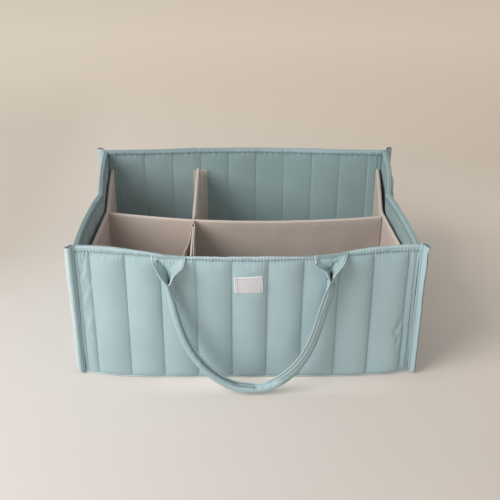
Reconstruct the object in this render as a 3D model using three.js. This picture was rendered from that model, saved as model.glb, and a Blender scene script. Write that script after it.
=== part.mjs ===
// A quilted fabric diaper caddy with two tube handles and a lift-out divider insert.
// Millimetres. +X is to the right, -Y is the front and +Z is up.
// The origin is the centre of the base's underside.
import * as THREE from 'three';

// Whole caddy, measured between its corner seams
const caddyWidth = 400;
const caddyDepth = 280;
const caddyHeight = 178;

// Gap between pieces that touch
const clearance = 0.3;

// Walls, from the outside in: quilted outer panel, foam core, quilted lining
const outerPanelThickness = 2.2;
const foamThickness = 1.6;
const liningThickness = 2;
const channelPitch = 41;
const narrowestChannel = 8;
const outerCrown = 2.2;
const liningCrown = 1.2;
const crownRamp = 10;
const frontSeamShift = 2.5;
const backSeamShift = -4;

// How far each wall stands out of the straight line between its corners
const frontTopBow = 23;
const frontBottomBow = 12;
const backTopBow = 10;
const backBottomBow = 6;
const leftFold = 11;
const rightFold = 15;
const topBowPower = 1.6;
const bottomBowPower = 5.5;

// Hem binding over the top of the walls
const hemHeight = 10;
const hemCap = 2.4;
const hemProud = 0.3;
const hemRound = 2.6;

// Base: outer panel, stiff board and lining
const basePanelThickness = 3;
const baseBoardThickness = 2.5;
const baseLiningThickness = 2.5;
const baseBoardInset = 1.6;

// Corner fins: the folded and stitched seam allowances
const finReach = 11.4;
const finThickness = 2.6;
const finLift = 2;
const finFootRise = 6;
const finFootShare = 0.6;
const finTipShare = 0.7;
const finShoulderShare = 0.9;

// Woven label on the front
const labelWidth = 32;
const labelHeight = 22;
const labelThickness = 0.6;
const labelDrop = 37;
const labelShift = 1.2;
const labelTilt = THREE.MathUtils.degToRad(3.2);

// Handles: a strap sewn into the hem that folds into a tube round a soft filler
const handleSpread = 182;
const handleDrop = 173;
const handleLean = 5;
const handleSidePower = 0.92;
const handleDropPower = 0.952;
const handleSlope = THREE.MathUtils.degToRad(8.7);
const strapWidth = 40;
const strapThickness = 1.5;
const strapLip = 3.3;
const strapTubeRadius = 5.6;
const strapLipTurn = THREE.MathUtils.degToRad(80);
const flareLength = 38;
const twistRun = 60;
const leftTwist = THREE.MathUtils.degToRad(45);
const rightTwist = THREE.MathUtils.degToRad(70);
const tabThickness = 1.4;

// Divider insert
const insertTop = 152;
const insertWallClearance = 0.4;
const insertEndClearance = 1;
const dividerBow = 24;
const dividerEndPlace = -4;
const dividerBowCentre = 25;
const dividerBowHalfRun = 200;
const insertFabric = 1.2;
const boardThickness = 2;
const insertRound = 1;
const boardEndMargin = 2;
const boardFoldMargin = 1.5;
const boardBottomMargin = 1;

// Swinging flaps of the centre divider
const flapPlace = -67;
const flapRootThickness = 2;
const flapRootStraight = 3;
const flapTaperEnd = 14;
const flapWallClearance = 2.6;
const flapBulge = 6.5;
const flapPlySlit = 0.3;
const flapBoardDrop = 0.8;
const tapeWidth = 20;
const tapeThickness = 1;
const hookTapeWidth = 4.4;
const tapeFoot = 12;
const tapeHeadMargin = 6;

// Facets
const outerSteps = 4;
const liningSteps = 2;
const strapArcSteps = 4;
const flareSteps = 7;
const tubeSteps = 26;
const fillerSides = 8;
const pathSamples = 480;
const dividerSteps = 10;
const labelSteps = 6;
const tabSteps = 4;
const bulgeSteps = 8;

// Depths of the wall layers below the outer surface
const foamDepth = outerPanelThickness + clearance;
const liningDepth = foamDepth + foamThickness + clearance;
const wallThickness = liningDepth + liningThickness;
const innerFaceDepth = wallThickness + liningCrown;
const hemInnerDepth = wallThickness + hemProud;

// Heights
const panelBottom = basePanelThickness + clearance;
const panelTop = caddyHeight - hemHeight - clearance;
const boardBottom = panelBottom;
const baseLiningBottom = boardBottom + baseBoardThickness + clearance;
const insertBottom = baseLiningBottom + baseLiningThickness + clearance;

// The mitred ends of two walls stay one clearance apart across the corner's diagonal
const mitre = clearance / Math.SQRT2;

const sage = { color: 0xa4c1bf, roughness: 0.62, metalness: 0 };
const sageLining = { color: 0x93b3b1, roughness: 0.66, metalness: 0 };
const blush = { color: 0xcdb9ae, roughness: 0.85, metalness: 0 };
const cream = { color: 0xe9e1d4, roughness: 0.8, metalness: 0 };
const card = { color: 0xb9aa92, roughness: 0.9, metalness: 0 };
const foam = { color: 0xf2f1ec, roughness: 0.95, metalness: 0 };

function namedMesh(name, geometry, finish) {
  const mesh = new THREE.Mesh(geometry, new THREE.MeshStandardMaterial(finish));
  mesh.name = name;
  return mesh;
}

function mix(a, b, share) {
  return a + (b - a) * share;
}

function smoothShare(share) {
  const t = THREE.MathUtils.clamp(share, 0, 1);
  return t * t * (3 - 2 * t);
}

// Lengths along a row of points, as shares of its whole length
function lengthShares(row) {
  const lengths = [0];
  for (let i = 1; i < row.length; i++) {
    lengths.push(lengths[i - 1] + row[i].distanceTo(row[i - 1]));
  }
  const whole = lengths[row.length - 1];
  return lengths.map((length) => length / whole);
}

// Triangles that close the strip between two rows, as indices into face row then back row reversed
function stripTriangles(face, back) {
  const faceShares = lengthShares(face);
  const backShares = lengthShares(back);
  const last = face.length + back.length - 1;
  const triangles = [];
  let i = 0;
  let j = 0;
  while (i < face.length - 1 || j < back.length - 1) {
    const nextFace = i < face.length - 1 ? faceShares[i + 1] : Infinity;
    const nextBack = j < back.length - 1 ? backShares[j + 1] : Infinity;
    if (nextFace <= nextBack) {
      triangles.push([i, i + 1, last - j]);
      i++;
    } else {
      triangles.push([i, last - j - 1, last - j]);
      j++;
    }
  }
  return triangles;
}

// A closed body through rings. Each ring has a face row and a back row that run the same way.
// Face and back are split along the same diagonals, so that stacked layers stay parallel.
function ringBody(rings) {
  const loops = rings.map((ring) => [...ring.face, ...ring.back.slice().reverse()]);
  const count = loops[0].length;
  const faceCount = rings[0].face.length;
  const triangles = [];
  for (let i = 0; i < loops.length - 1; i++) {
    for (let j = 0; j < count; j++) {
      const a = i * count + j;
      const b = i * count + (j + 1) % count;
      if (j < faceCount) {
        triangles.push([a, b, b + count], [a, b + count, a + count]);
      } else {
        triangles.push([a, b, a + count], [b, b + count, a + count]);
      }
    }
  }
  const end = (loops.length - 1) * count;
  const firstCap = stripTriangles(rings[0].face, rings[0].back);
  const lastRing = rings[rings.length - 1];
  const lastCap = stripTriangles(lastRing.face, lastRing.back);
  triangles.push(...firstCap.map(([a, b, c]) => [a, c, b]));
  triangles.push(...lastCap.map(([a, b, c]) => [a + end, b + end, c + end]));
  return facesOut(loops.flat(), triangles);
}

// Turns the faces out, whichever way the rings ran
function facesOut(points, triangles) {
  let volume = 0;
  for (const [a, b, c] of triangles) {
    volume += points[a].dot(new THREE.Vector3().crossVectors(points[b], points[c]));
  }
  const order = volume < 0 ? triangles.map(([a, b, c]) => [a, c, b]) : triangles;
  const geometry = new THREE.BufferGeometry().setFromPoints(points);
  geometry.setIndex(order.flat());
  geometry.computeVertexNormals();
  return geometry;
}

// Places along a wall where its quilting seams run, with the two corners
function channelEdges(half, shift) {
  const edges = [-half];
  const first = Math.ceil((narrowestChannel - half - shift) / channelPitch - 1 / 2);
  for (let k = first; shift + channelPitch * (k + 1 / 2) < half - narrowestChannel; k++) {
    edges.push(shift + channelPitch * (k + 1 / 2));
  }
  edges.push(half);
  return edges;
}

function bowedWall(name, topBow, bottomBow, seamShift, side) {
  const half = caddyWidth / 2;
  return {
    name,
    half,
    reach: caddyDepth / 2,
    edges: channelEdges(half, seamShift),
    bulge(share, z) {
      const top = topBow * Math.cos(Math.PI * share / 2) ** topBowPower;
      const bottom = bottomBow * (1 - Math.abs(share) ** bottomBowPower);
      return mix(bottom, top, z / caddyHeight);
    },
    place: (along, out, z) => new THREE.Vector3(along, side * out, z),
  };
}

// A side wall folds in along its middle seam, more at the top than at the base
function foldedWall(name, fold, side) {
  const half = caddyDepth / 2;
  return {
    name,
    half,
    reach: caddyWidth / 2,
    edges: channelEdges(half, channelPitch / 2),
    bulge: (share, z) => -fold * (1 - Math.abs(share)) * z / caddyHeight,
    place: (along, out, z) => new THREE.Vector3(side * out, along, z),
  };
}

const frontWall = bowedWall('front', frontTopBow, frontBottomBow, frontSeamShift, -1);
const backWall = bowedWall('back', backTopBow, backBottomBow, backSeamShift, 1);
const leftWall = foldedWall('left', leftFold, -1);
const rightWall = foldedWall('right', rightFold, 1);
const walls = [frontWall, backWall, leftWall, rightWall];

// A point of a wall: share of the half span along it, depth below its outer surface, height
function wallPoint(wall, share, depth, z) {
  const along = share * (wall.half - mitre - depth);
  const out = wall.reach + wall.bulge(share, z) - depth;
  return wall.place(along, out, z);
}

function seamRow(wall, depth, z) {
  return wall.edges.map((edge) => wallPoint(wall, edge / wall.half, depth, z));
}

// A row over the swollen channels: crown is how far they stand off the depth, towards the sign
function crownRow(wall, depth, z, crown, steps) {
  const row = [];
  for (let i = 0; i < wall.edges.length - 1; i++) {
    const start = wall.edges[i];
    const channel = wall.edges[i + 1] - start;
    const height = crown * Math.min(1, channel / channelPitch);
    for (let k = 0; k < steps; k++) {
      const swell = height * Math.sin(Math.PI * k / steps);
      const share = (start + channel * k / steps) / wall.half;
      row.push(wallPoint(wall, share, depth + swell, z));
    }
  }
  row.push(wallPoint(wall, 1, depth, z));
  return row;
}

// Levels of a quilted panel: the channels are drawn flat at the base seam and under the hem
function quiltLevels(crown) {
  const middle = (panelBottom + panelTop) / 2;
  return [
    [panelBottom, 0],
    [panelBottom + crownRamp, crown],
    [middle, crown],
    [panelTop - crownRamp, crown],
    [panelTop, 0],
  ];
}

function outerPanel(wall) {
  const rings = quiltLevels(-outerCrown).map(([z, crown]) => ({
    face: crownRow(wall, 0, z, crown, outerSteps),
    back: seamRow(wall, outerPanelThickness, z),
  }));
  return namedMesh(`${wall.name}_outer_panel`, ringBody(rings), sage);
}

function liningPanel(wall) {
  const rings = quiltLevels(liningCrown).map(([z, crown]) => ({
    face: crownRow(wall, wallThickness, z, crown, liningSteps),
    back: seamRow(wall, liningDepth, z),
  }));
  return namedMesh(`${wall.name}_lining`, ringBody(rings), sageLining);
}

function foamCore(wall) {
  const top = caddyHeight - hemCap - clearance;
  const levels = [...quiltLevels(0).map(([z]) => z), top];
  const rings = levels.map((z) => ({
    face: seamRow(wall, foamDepth, z),
    back: seamRow(wall, foamDepth + foamThickness, z),
  }));
  return namedMesh(`${wall.name}_foam_core`, ringBody(rings), foam);
}

// The hem is a folded band: two legs beside the foam core and a rounded cap over it
function hemBinding(wall) {
  const foot = caddyHeight - hemHeight;
  const ceiling = caddyHeight - hemCap;
  const cornerShare = 1 - Math.SQRT1_2;
  const shoulder = hemRound * cornerShare;
  const outline = [
    [-hemProud, foot],
    [-hemProud, caddyHeight - hemRound],
    [-hemProud + shoulder, caddyHeight - shoulder],
    [-hemProud + hemRound, caddyHeight],
    [hemInnerDepth - hemRound, caddyHeight],
    [hemInnerDepth - shoulder, caddyHeight - shoulder],
    [hemInnerDepth, caddyHeight - hemRound],
    [hemInnerDepth, foot],
  ];
  const slot = [
    [outerPanelThickness, foot],
    [outerPanelThickness, ceiling],
    [liningDepth, ceiling],
    [liningDepth, foot],
  ];
  const rings = wall.edges.map((edge) => ({
    face: outline.map(([depth, z]) => wallPoint(wall, edge / wall.half, depth, z)),
    back: slot.map(([depth, z]) => wallPoint(wall, edge / wall.half, depth, z)),
  }));
  return namedMesh(`${wall.name}_hem_binding`, ringBody(rings), sage);
}

// A flat layer of the base, inside the walls' outline at a depth
function baseLayer(name, depth, bottom, thickness, finish) {
  const rings = [bottom, bottom + thickness].map((z) => ({
    face: seamRow(frontWall, depth, 0).map((point) => point.setZ(z)),
    back: seamRow(backWall, depth, 0).map((point) => point.setZ(z)),
  }));
  return namedMesh(name, ringBody(rings), finish);
}

function cornerFin(name, sideX, sideY) {
  const corner = new THREE.Vector2(sideX * caddyWidth / 2, sideY * caddyDepth / 2);
  const outwards = new THREE.Vector2(sideX, sideY).normalize();
  const across = new THREE.Vector2(-outwards.y, outwards.x);
  const root = clearance + Math.SQRT2 * hemProud;
  const section = [
    [0, 1],
    [finShoulderShare, 1],
    [1, finTipShare],
  ];
  const side = (z, reach, sign) => section.map(([reachShare, thicknessShare]) => {
    const point = corner.clone();
    point.addScaledVector(outwards, root + (reach - root) * reachShare);
    point.addScaledVector(across, sign * thicknessShare * finThickness / 2);
    return new THREE.Vector3(point.x, point.y, z);
  });
  const levels = [
    [finLift, finReach * finFootShare],
    [finLift + finFootRise, finReach],
    [caddyHeight, finReach],
  ];
  const rings = levels.map(([z, reach]) => ({ face: side(z, reach, 1), back: side(z, reach, -1) }));
  return namedMesh(name, ringBody(rings), sage);
}

// Outer surface of a quilted wall at a place along it, between the crown's ramps
function crownedDepth(wall, along) {
  const index = wall.edges.findIndex((edge) => edge > along) - 1;
  const start = wall.edges[index];
  const channel = wall.edges[index + 1] - start;
  const height = outerCrown * Math.min(1, channel / channelPitch);
  return -height * Math.sin(Math.PI * (along - start) / channel);
}

function wovenLabel() {
  const centreHeight = caddyHeight - labelDrop;
  const row = (level, lift) => {
    const points = [];
    for (let i = 0; i <= labelSteps; i++) {
      const across = labelWidth * (i / labelSteps - 1 / 2);
      const up = labelHeight * level / 2;
      const along = labelShift + across * Math.cos(labelTilt) - up * Math.sin(labelTilt);
      const z = centreHeight + across * Math.sin(labelTilt) + up * Math.cos(labelTilt);
      const depth = crownedDepth(frontWall, along) - lift;
      points.push(wallPoint(frontWall, along / frontWall.half, depth, z));
    }
    return points;
  };
  const rings = [-1, 1].map((level) => ({
    face: row(level, clearance + labelThickness),
    back: row(level, clearance),
  }));
  return namedMesh('woven_label', ringBody(rings), cream);
}

// Strip of loop tape on a lining, where a flap of the centre divider meets the wall
function loopTape(wall) {
  const row = (depth, z) => [-1, 0, 1].map((side) => {
    const along = flapPlace + side * tapeWidth / 2;
    return wallPoint(wall, along / wall.half, depth, z);
  });
  const depth = innerFaceDepth + clearance;
  const levels = [insertBottom + tapeFoot, insertTop - tapeHeadMargin];
  const rings = levels.map((z) => ({ face: row(depth, z), back: row(depth + tapeThickness, z) }));
  return namedMesh(`${wall.name}_loop_tape`, ringBody(rings), cream);
}

// The line that a handle swings about, just outside and above the hem at its roots.
// It stands off the hem, and far enough for the folding strap to clear the swollen channels.
function handleAxis(wall) {
  const innerEnd = (handleSpread - strapWidth) / 2;
  const touch = clearance + strapThickness / 2;
  const z = caddyHeight + touch;
  let out = wall.reach + wall.bulge(innerEnd / wall.half, caddyHeight) + hemProud + touch;
  for (let i = 1; i <= flareSteps; i++) {
    const share = i / flareSteps;
    const drop = share * flareLength;
    const surface = wall.reach + wall.bulge(handleSpread / 2 / wall.half, z - drop) + outerCrown;
    const spine = strapTubeRadius * smoothShare(share) - drop * Math.sin(handleSlope);
    out = Math.max(out, surface + touch + spine);
  }
  return { out, z };
}

// The handle's middle line in its own plane: along the wall and down from the swing line
function handleSamples() {
  const samples = [];
  for (let i = 0; i <= pathSamples; i++) {
    const angle = Math.PI * i / pathSamples;
    const across = Math.cos(angle);
    const down = Math.max(0, Math.sin(angle));
    const side = -Math.sign(across) * Math.abs(across) ** handleSidePower;
    const along = side * handleSpread / 2 + handleLean * down;
    samples.push(new THREE.Vector2(along, handleDrop * down ** handleDropPower));
  }
  return samples;
}

// Places along the handle, finer where the strap folds into its tube
function handleStations(samples) {
  const lengths = [0];
  for (let i = 1; i < samples.length; i++) {
    lengths.push(lengths[i - 1] + samples[i].distanceTo(samples[i - 1]));
  }
  const whole = lengths[lengths.length - 1];
  const distances = [];
  for (let i = 0; i < flareSteps; i++) {
    distances.push(flareLength * i / flareSteps);
  }
  for (let i = 0; i <= tubeSteps; i++) {
    distances.push(mix(flareLength, whole - flareLength, i / tubeSteps));
  }
  for (let i = flareSteps - 1; i >= 0; i--) {
    distances.push(whole - flareLength * i / flareSteps);
  }
  return distances.map((distance) => {
    const found = lengths.findIndex((length) => length >= distance);
    const index = Math.max(1, found < 0 ? lengths.length - 1 : found);
    const share = (distance - lengths[index - 1]) / (lengths[index] - lengths[index - 1]);
    const place = samples[index - 1].clone().lerp(samples[index], share);
    const heading = samples[index].clone().sub(samples[index - 1]).normalize();
    return { distance, whole, place, heading };
  });
}

// Centre and directions of each handle section: inward across the loop, and off the handle's plane
function handleFrames(axis) {
  const downSlope = Math.sin(handleSlope);
  const downDrop = Math.cos(handleSlope);
  const lift = new THREE.Vector3(0, downDrop, downSlope);
  return handleStations(handleSamples()).map(({ distance, whole, place, heading }) => {
    const centre = new THREE.Vector3(place.x, axis.out + place.y * downSlope, axis.z - place.y * downDrop);
    const tangent = new THREE.Vector3(heading.x, heading.y * downSlope, -heading.y * downDrop);
    const inward = new THREE.Vector3().crossVectors(tangent, lift).normalize();
    const fromRoot = Math.min(distance, whole - distance);
    const curl = smoothShare(fromRoot / flareLength);
    const fullTwist = mix(leftTwist, rightTwist, distance / whole);
    const twist = fullTwist * smoothShare((fromRoot - flareLength) / twistRun);
    return { centre, inward, lift, curl, twist };
  });
}

function framePoint(wall, frame, side, rise) {
  const turnedSide = side * Math.cos(frame.twist) + rise * Math.sin(frame.twist);
  const turnedRise = rise * Math.cos(frame.twist) - side * Math.sin(frame.twist);
  const point = frame.centre.clone();
  point.addScaledVector(frame.inward, turnedSide);
  point.addScaledVector(frame.lift, turnedRise);
  return wall.place(point.x, point.y, point.z);
}

// Half of the strap's section from its spine to its edge: flat at curl 0, a tube with a lip at curl 1
function strapHalf(curl) {
  const arc = strapWidth / 2 - strapLip;
  const step = arc / strapArcSteps;
  const points = [new THREE.Vector2(0, -curl * strapTubeRadius)];
  const headings = [0];
  for (let i = 0; i < strapArcSteps; i++) {
    const heading = curl * (i + 1 / 2) * step / strapTubeRadius;
    const move = new THREE.Vector2(Math.cos(heading), Math.sin(heading)).multiplyScalar(step);
    points.push(points[i].clone().add(move));
    headings.push(heading + curl * step / strapTubeRadius / 2);
  }
  const lipHeading = curl * (arc / strapTubeRadius - strapLipTurn);
  const lip = new THREE.Vector2(Math.cos(lipHeading), Math.sin(lipHeading)).multiplyScalar(strapLip);
  points.push(points[strapArcSteps].clone().add(lip));
  headings[strapArcSteps] = mix(headings[strapArcSteps], lipHeading, 1 / 2);
  headings.push(lipHeading);
  return points.map((point, i) => {
    const normal = new THREE.Vector2(-Math.sin(headings[i]), Math.cos(headings[i]));
    return {
      inside: point.clone().addScaledVector(normal, strapThickness / 2),
      outside: point.clone().addScaledVector(normal, -strapThickness / 2),
    };
  });
}

function handleStrap(wall, name) {
  const rings = handleFrames(handleAxis(wall)).map((frame) => {
    const half = strapHalf(frame.curl);
    const row = (face) => {
      const rightSide = half.map((pair) => framePoint(wall, frame, pair[face].x, pair[face].y));
      const leftSide = half.slice(1).map((pair) => framePoint(wall, frame, -pair[face].x, pair[face].y));
      return [...leftSide.reverse(), ...rightSide];
    };
    return { face: row('outside'), back: row('inside') };
  });
  return namedMesh(name, ringBody(rings), sage);
}

// Soft filler inside the closed part of the strap
function handleFiller(wall, name) {
  const stepAngle = (strapWidth / 2 - strapLip) / strapArcSteps / strapTubeRadius;
  const bore = (strapTubeRadius - strapThickness / 2) * Math.cos(stepAngle / 2);
  const radius = bore - clearance;
  const closed = handleFrames(handleAxis(wall)).filter((frame) => frame.curl === 1);
  const arcRow = (frame, sign) => {
    const row = [];
    for (let i = 0; i <= fillerSides / 2; i++) {
      const angle = 2 * Math.PI * i / fillerSides;
      row.push(framePoint(wall, frame, radius * Math.cos(angle), sign * radius * Math.sin(angle)));
    }
    return row;
  };
  const rings = closed.map((frame) => {
    const lower = arcRow(frame, -1).slice(1, -1);
    return { face: arcRow(frame, 1), back: lower };
  });
  return namedMesh(name, ringBody(rings), foam);
}

// Tab that joins the hem's top to the swing line under one root of a handle
function handleTab(wall, name, side) {
  const axis = handleAxis(wall);
  const bottom = caddyHeight + clearance;
  const freeEnd = axis.out - strapThickness / 2 - clearance;
  const rings = [];
  for (let i = 0; i <= tabSteps; i++) {
    const along = side * handleSpread / 2 + strapWidth * (i / tabSteps - 1 / 2);
    const sewnEnd = wall.reach + wall.bulge(along / wall.half, caddyHeight) - wallThickness / 2;
    const row = (z) => [wall.place(along, sewnEnd, z), wall.place(along, freeEnd, z)];
    rings.push({ face: row(bottom), back: row(bottom + tabThickness) });
  }
  return namedMesh(name, ringBody(rings), sage);
}

// Sweeps a section along stations in plan. A section pairs an offset to the left with a height.
function planSweep(stations, sectionAt) {
  const rings = stations.map((station, i) => {
    const section = sectionAt(station, i);
    const point = ([offset, z]) => {
      const place = station.place.clone().addScaledVector(station.left, offset);
      return new THREE.Vector3(place.x, place.y, z);
    };
    return { face: section.face.map(point), back: section.back.map(point) };
  });
  return ringBody(rings);
}

// Folded sleeve, open at its foot: the fabric goes up one side, over the board and down the other
function sleeveSection(halfThickness, fabric, bottom, top) {
  const inside = halfThickness - fabric;
  const round = Math.min(insertRound, halfThickness / 2);
  return {
    face: [
      [halfThickness, bottom],
      [halfThickness, top - round],
      [halfThickness - round, top],
      [round - halfThickness, top],
      [-halfThickness, top - round],
      [-halfThickness, bottom],
    ],
    back: [
      [inside, bottom],
      [inside, top - fabric],
      [-inside, top - fabric],
      [-inside, bottom],
    ],
  };
}

function slabSection(halfThickness, bottom, top) {
  return {
    face: [[halfThickness, bottom], [halfThickness, top]],
    back: [[-halfThickness, bottom], [-halfThickness, top]],
  };
}

const panelHalf = insertFabric + clearance + boardThickness / 2;
const boardTop = insertTop - insertFabric - clearance;
const boardFoot = insertBottom + boardBottomMargin;

// Middle plane of an end panel of the insert, which lies along a folded side wall.
// It clears the lining beside it, and the hem that it passes when the insert is lifted out.
function endPanelOut(wall, y) {
  const share = y / wall.half;
  const atLining = wall.bulge(share, insertTop) - innerFaceDepth;
  const atHem = wall.bulge(share, caddyHeight) - hemInnerDepth;
  return wall.reach + Math.min(atLining, atHem) - insertWallClearance - panelHalf;
}

// How far the insert's end panels run towards a bowed wall
function endPanelRun(wall) {
  const along = caddyWidth / 2 - innerFaceDepth;
  const share = along / wall.half;
  const bulge = Math.min(wall.bulge(share, insertBottom), wall.bulge(share, insertTop));
  return wall.reach + bulge - innerFaceDepth - insertEndClearance;
}

function endPanelStation(wall, side, y) {
  return {
    place: new THREE.Vector2(side * endPanelOut(wall, y), y),
    left: new THREE.Vector2(side, 0),
  };
}

function endPanel(wall, side) {
  const front = -endPanelRun(frontWall);
  const rear = endPanelRun(backWall);
  const cover = [front, 0, rear].map((y) => endPanelStation(wall, side, y));
  const frontBoard = [front + boardEndMargin, -boardFoldMargin];
  const rearBoard = [boardFoldMargin, rear - boardEndMargin];
  const board = (name, ends) => {
    const stations = ends.map((y) => endPanelStation(wall, side, y));
    const section = () => slabSection(boardThickness / 2, boardFoot, boardTop);
    return namedMesh(name, planSweep(stations, section), card);
  };
  const sleeve = () => sleeveSection(panelHalf, insertFabric, insertBottom, insertTop);
  return [
    namedMesh(`${wall.name}_end_cover`, planSweep(cover, sleeve), blush),
    board(`${wall.name}_end_front_board`, frontBoard),
    board(`${wall.name}_end_rear_board`, rearBoard),
  ];
}

// Middle line of the cross divider, which bows towards the front
function dividerY(x) {
  const share = (x - dividerBowCentre) / dividerBowHalfRun;
  return dividerEndPlace - dividerBow * (1 - share * share);
}

function dividerStations(start, end) {
  const stations = [];
  for (let i = 0; i <= dividerSteps; i++) {
    const x = mix(start, end, i / dividerSteps);
    const slope = 2 * dividerBow * (x - dividerBowCentre) / dividerBowHalfRun ** 2;
    stations.push({
      place: new THREE.Vector2(x, dividerY(x)),
      left: new THREE.Vector2(-slope, 1).normalize(),
    });
  }
  return stations;
}

// Inner face of an end panel where the cross divider meets it
function dividerEnd(wall) {
  const out = endPanelOut(wall, dividerEndPlace) - panelHalf - clearance;
  const lean = wall.bulge(0, insertTop) * panelHalf / wall.half;
  return out - Math.abs(lean);
}

function crossDivider() {
  const start = -dividerEnd(leftWall);
  const end = dividerEnd(rightWall);
  const cover = dividerStations(start, end);
  const board = dividerStations(start + boardEndMargin, end - boardEndMargin);
  const sleeve = () => sleeveSection(panelHalf, insertFabric, insertBottom, insertTop);
  const slab = () => slabSection(boardThickness / 2, boardFoot, boardTop);
  return [
    namedMesh('cross_divider_cover', planSweep(cover, sleeve), blush),
    namedMesh('cross_divider_board', planSweep(board, slab), card),
  ];
}

// A flap turns about a vertical line where its narrow sewn root meets the cross divider
function flapHinge(direction) {
  const standOff = panelHalf + clearance + flapRootThickness / 2;
  const slope = 2 * dividerBow * (flapPlace - dividerBowCentre) / dividerBowHalfRun ** 2;
  return dividerY(flapPlace) + direction * standOff * Math.hypot(1, slope);
}

// Free end of a flap, clear of the wall where the wall leans in most
function flapEnd(wall) {
  const share = flapPlace / wall.half;
  const bulge = Math.min(wall.bulge(share, insertBottom), wall.bulge(share, insertTop));
  return wall.reach + bulge - innerFaceDepth - flapWallClearance;
}

// Half thickness of a flap along its length: a rounded root, a taper and the boarded part
function flapOutline(length) {
  const rootHalf = flapRootThickness / 2;
  const corner = rootHalf * Math.SQRT1_2;
  const tip = rootHalf * Math.sin(Math.PI / 8);
  return [
    [-rootHalf * Math.cos(Math.PI / 8), tip],
    [-corner, corner],
    [0, rootHalf],
    [flapRootStraight, rootHalf],
    [flapTaperEnd, panelHalf],
    [length, panelHalf],
  ];
}

function plyThickness(half) {
  return Math.min(insertFabric, half - flapPlySlit / 2);
}

function flapParts(wall, direction) {
  const hinge = flapHinge(direction);
  const end = flapEnd(wall) - tapeThickness - clearance;
  const length = end - direction * hinge;
  const at = (distance) => ({
    place: new THREE.Vector2(flapPlace, hinge + direction * distance),
    left: new THREE.Vector2(-1, 0),
  });
  const boardStations = [at(flapTaperEnd), at(length - boardEndMargin)];
  const board = (top) => planSweep(boardStations, () => slabSection(boardThickness / 2, boardFoot, top));
  const tapeStations = [at(length + clearance), at(length + clearance + tapeThickness)];
  const tapeBottom = insertBottom + tapeFoot;
  const tapeTop = insertTop - tapeHeadMargin;
  const tape = planSweep(tapeStations, () => slabSection(hookTapeWidth / 2, tapeBottom, tapeTop));
  return { length, at, board, tape };
}

// One fabric ply of the front flap, straight or bulging away from the board
function flapPly(parts, sign, bulge) {
  const outline = flapOutline(parts.length).slice(0, -1);
  const body = [];
  for (let i = 1; i <= bulgeSteps; i++) {
    const share = i / bulgeSteps;
    const distance = mix(flapTaperEnd, parts.length, share);
    const swell = bulge * Math.sin(Math.PI * share ** 2) ** 2;
    body.push([distance, panelHalf, swell]);
  }
  const stations = bulge > 0 ? [...outline, ...body] : flapOutline(parts.length);
  const rings = [insertBottom, insertTop].map((z) => {
    const row = (inset) => stations.map(([distance, half, swell = 0]) => {
      const fabric = inset ? plyThickness(half) : 0;
      const { place, left } = parts.at(distance);
      const offset = sign * (half + swell - fabric);
      return new THREE.Vector3(place.x + left.x * offset, place.y, z);
    });
    return { face: row(false), back: row(true) };
  });
  return ringBody(rings);
}

function frontFlap() {
  const parts = flapParts(frontWall, -1);
  return [
    namedMesh('front_flap_left_ply', flapPly(parts, 1, flapBulge), blush),
    namedMesh('front_flap_right_ply', flapPly(parts, -1, 0), blush),
    namedMesh('front_flap_board', parts.board(insertTop - flapBoardDrop), cream),
    namedMesh('front_flap_hook_tape', parts.tape, cream),
  ];
}

function rearFlap() {
  const parts = flapParts(backWall, 1);
  const outline = flapOutline(parts.length);
  const stations = outline.map(([distance]) => parts.at(distance));
  const sleeve = (station, i) => {
    const half = outline[i][1];
    return sleeveSection(half, plyThickness(half), insertBottom, insertTop);
  };
  return [
    namedMesh('rear_flap_cover', planSweep(stations, sleeve), blush),
    namedMesh('rear_flap_board', parts.board(boardTop), card),
    namedMesh('rear_flap_hook_tape', parts.tape, cream),
  ];
}

function shell() {
  const group = new THREE.Group();
  for (const wall of walls) {
    group.add(outerPanel(wall), foamCore(wall), liningPanel(wall), hemBinding(wall));
  }
  const boardDepth = wallThickness + baseBoardInset;
  group.add(baseLayer('base_outer_panel', 0, 0, basePanelThickness, sage));
  group.add(baseLayer('base_board', boardDepth, boardBottom, baseBoardThickness, card));
  group.add(baseLayer('base_lining', boardDepth, baseLiningBottom, baseLiningThickness, sageLining));
  group.add(cornerFin('corner_fin_front_left', -1, -1));
  group.add(cornerFin('corner_fin_front_right', 1, -1));
  group.add(cornerFin('corner_fin_back_left', -1, 1));
  group.add(cornerFin('corner_fin_back_right', 1, 1));
  group.add(wovenLabel(), loopTape(frontWall), loopTape(backWall));
  group.add(handleTab(frontWall, 'front_handle_left_tab', -1));
  group.add(handleTab(frontWall, 'front_handle_right_tab', 1));
  group.add(handleTab(backWall, 'rear_handle_left_tab', -1));
  group.add(handleTab(backWall, 'rear_handle_right_tab', 1));
  return group;
}

function handle(wall, name) {
  const group = new THREE.Group();
  group.add(handleStrap(wall, `${name}_strap`), handleFiller(wall, `${name}_filler`));
  return group;
}

function insert() {
  const group = new THREE.Group();
  group.add(...endPanel(leftWall, -1), ...endPanel(rightWall, 1), ...crossDivider());
  group.add(...frontFlap(), ...rearFlap());
  return group;
}

const caddy = new THREE.Group();
caddy.add(shell(), handle(frontWall, 'front_handle'), handle(backWall, 'rear_handle'), insert());

export default caddy;
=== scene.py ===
import math

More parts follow.
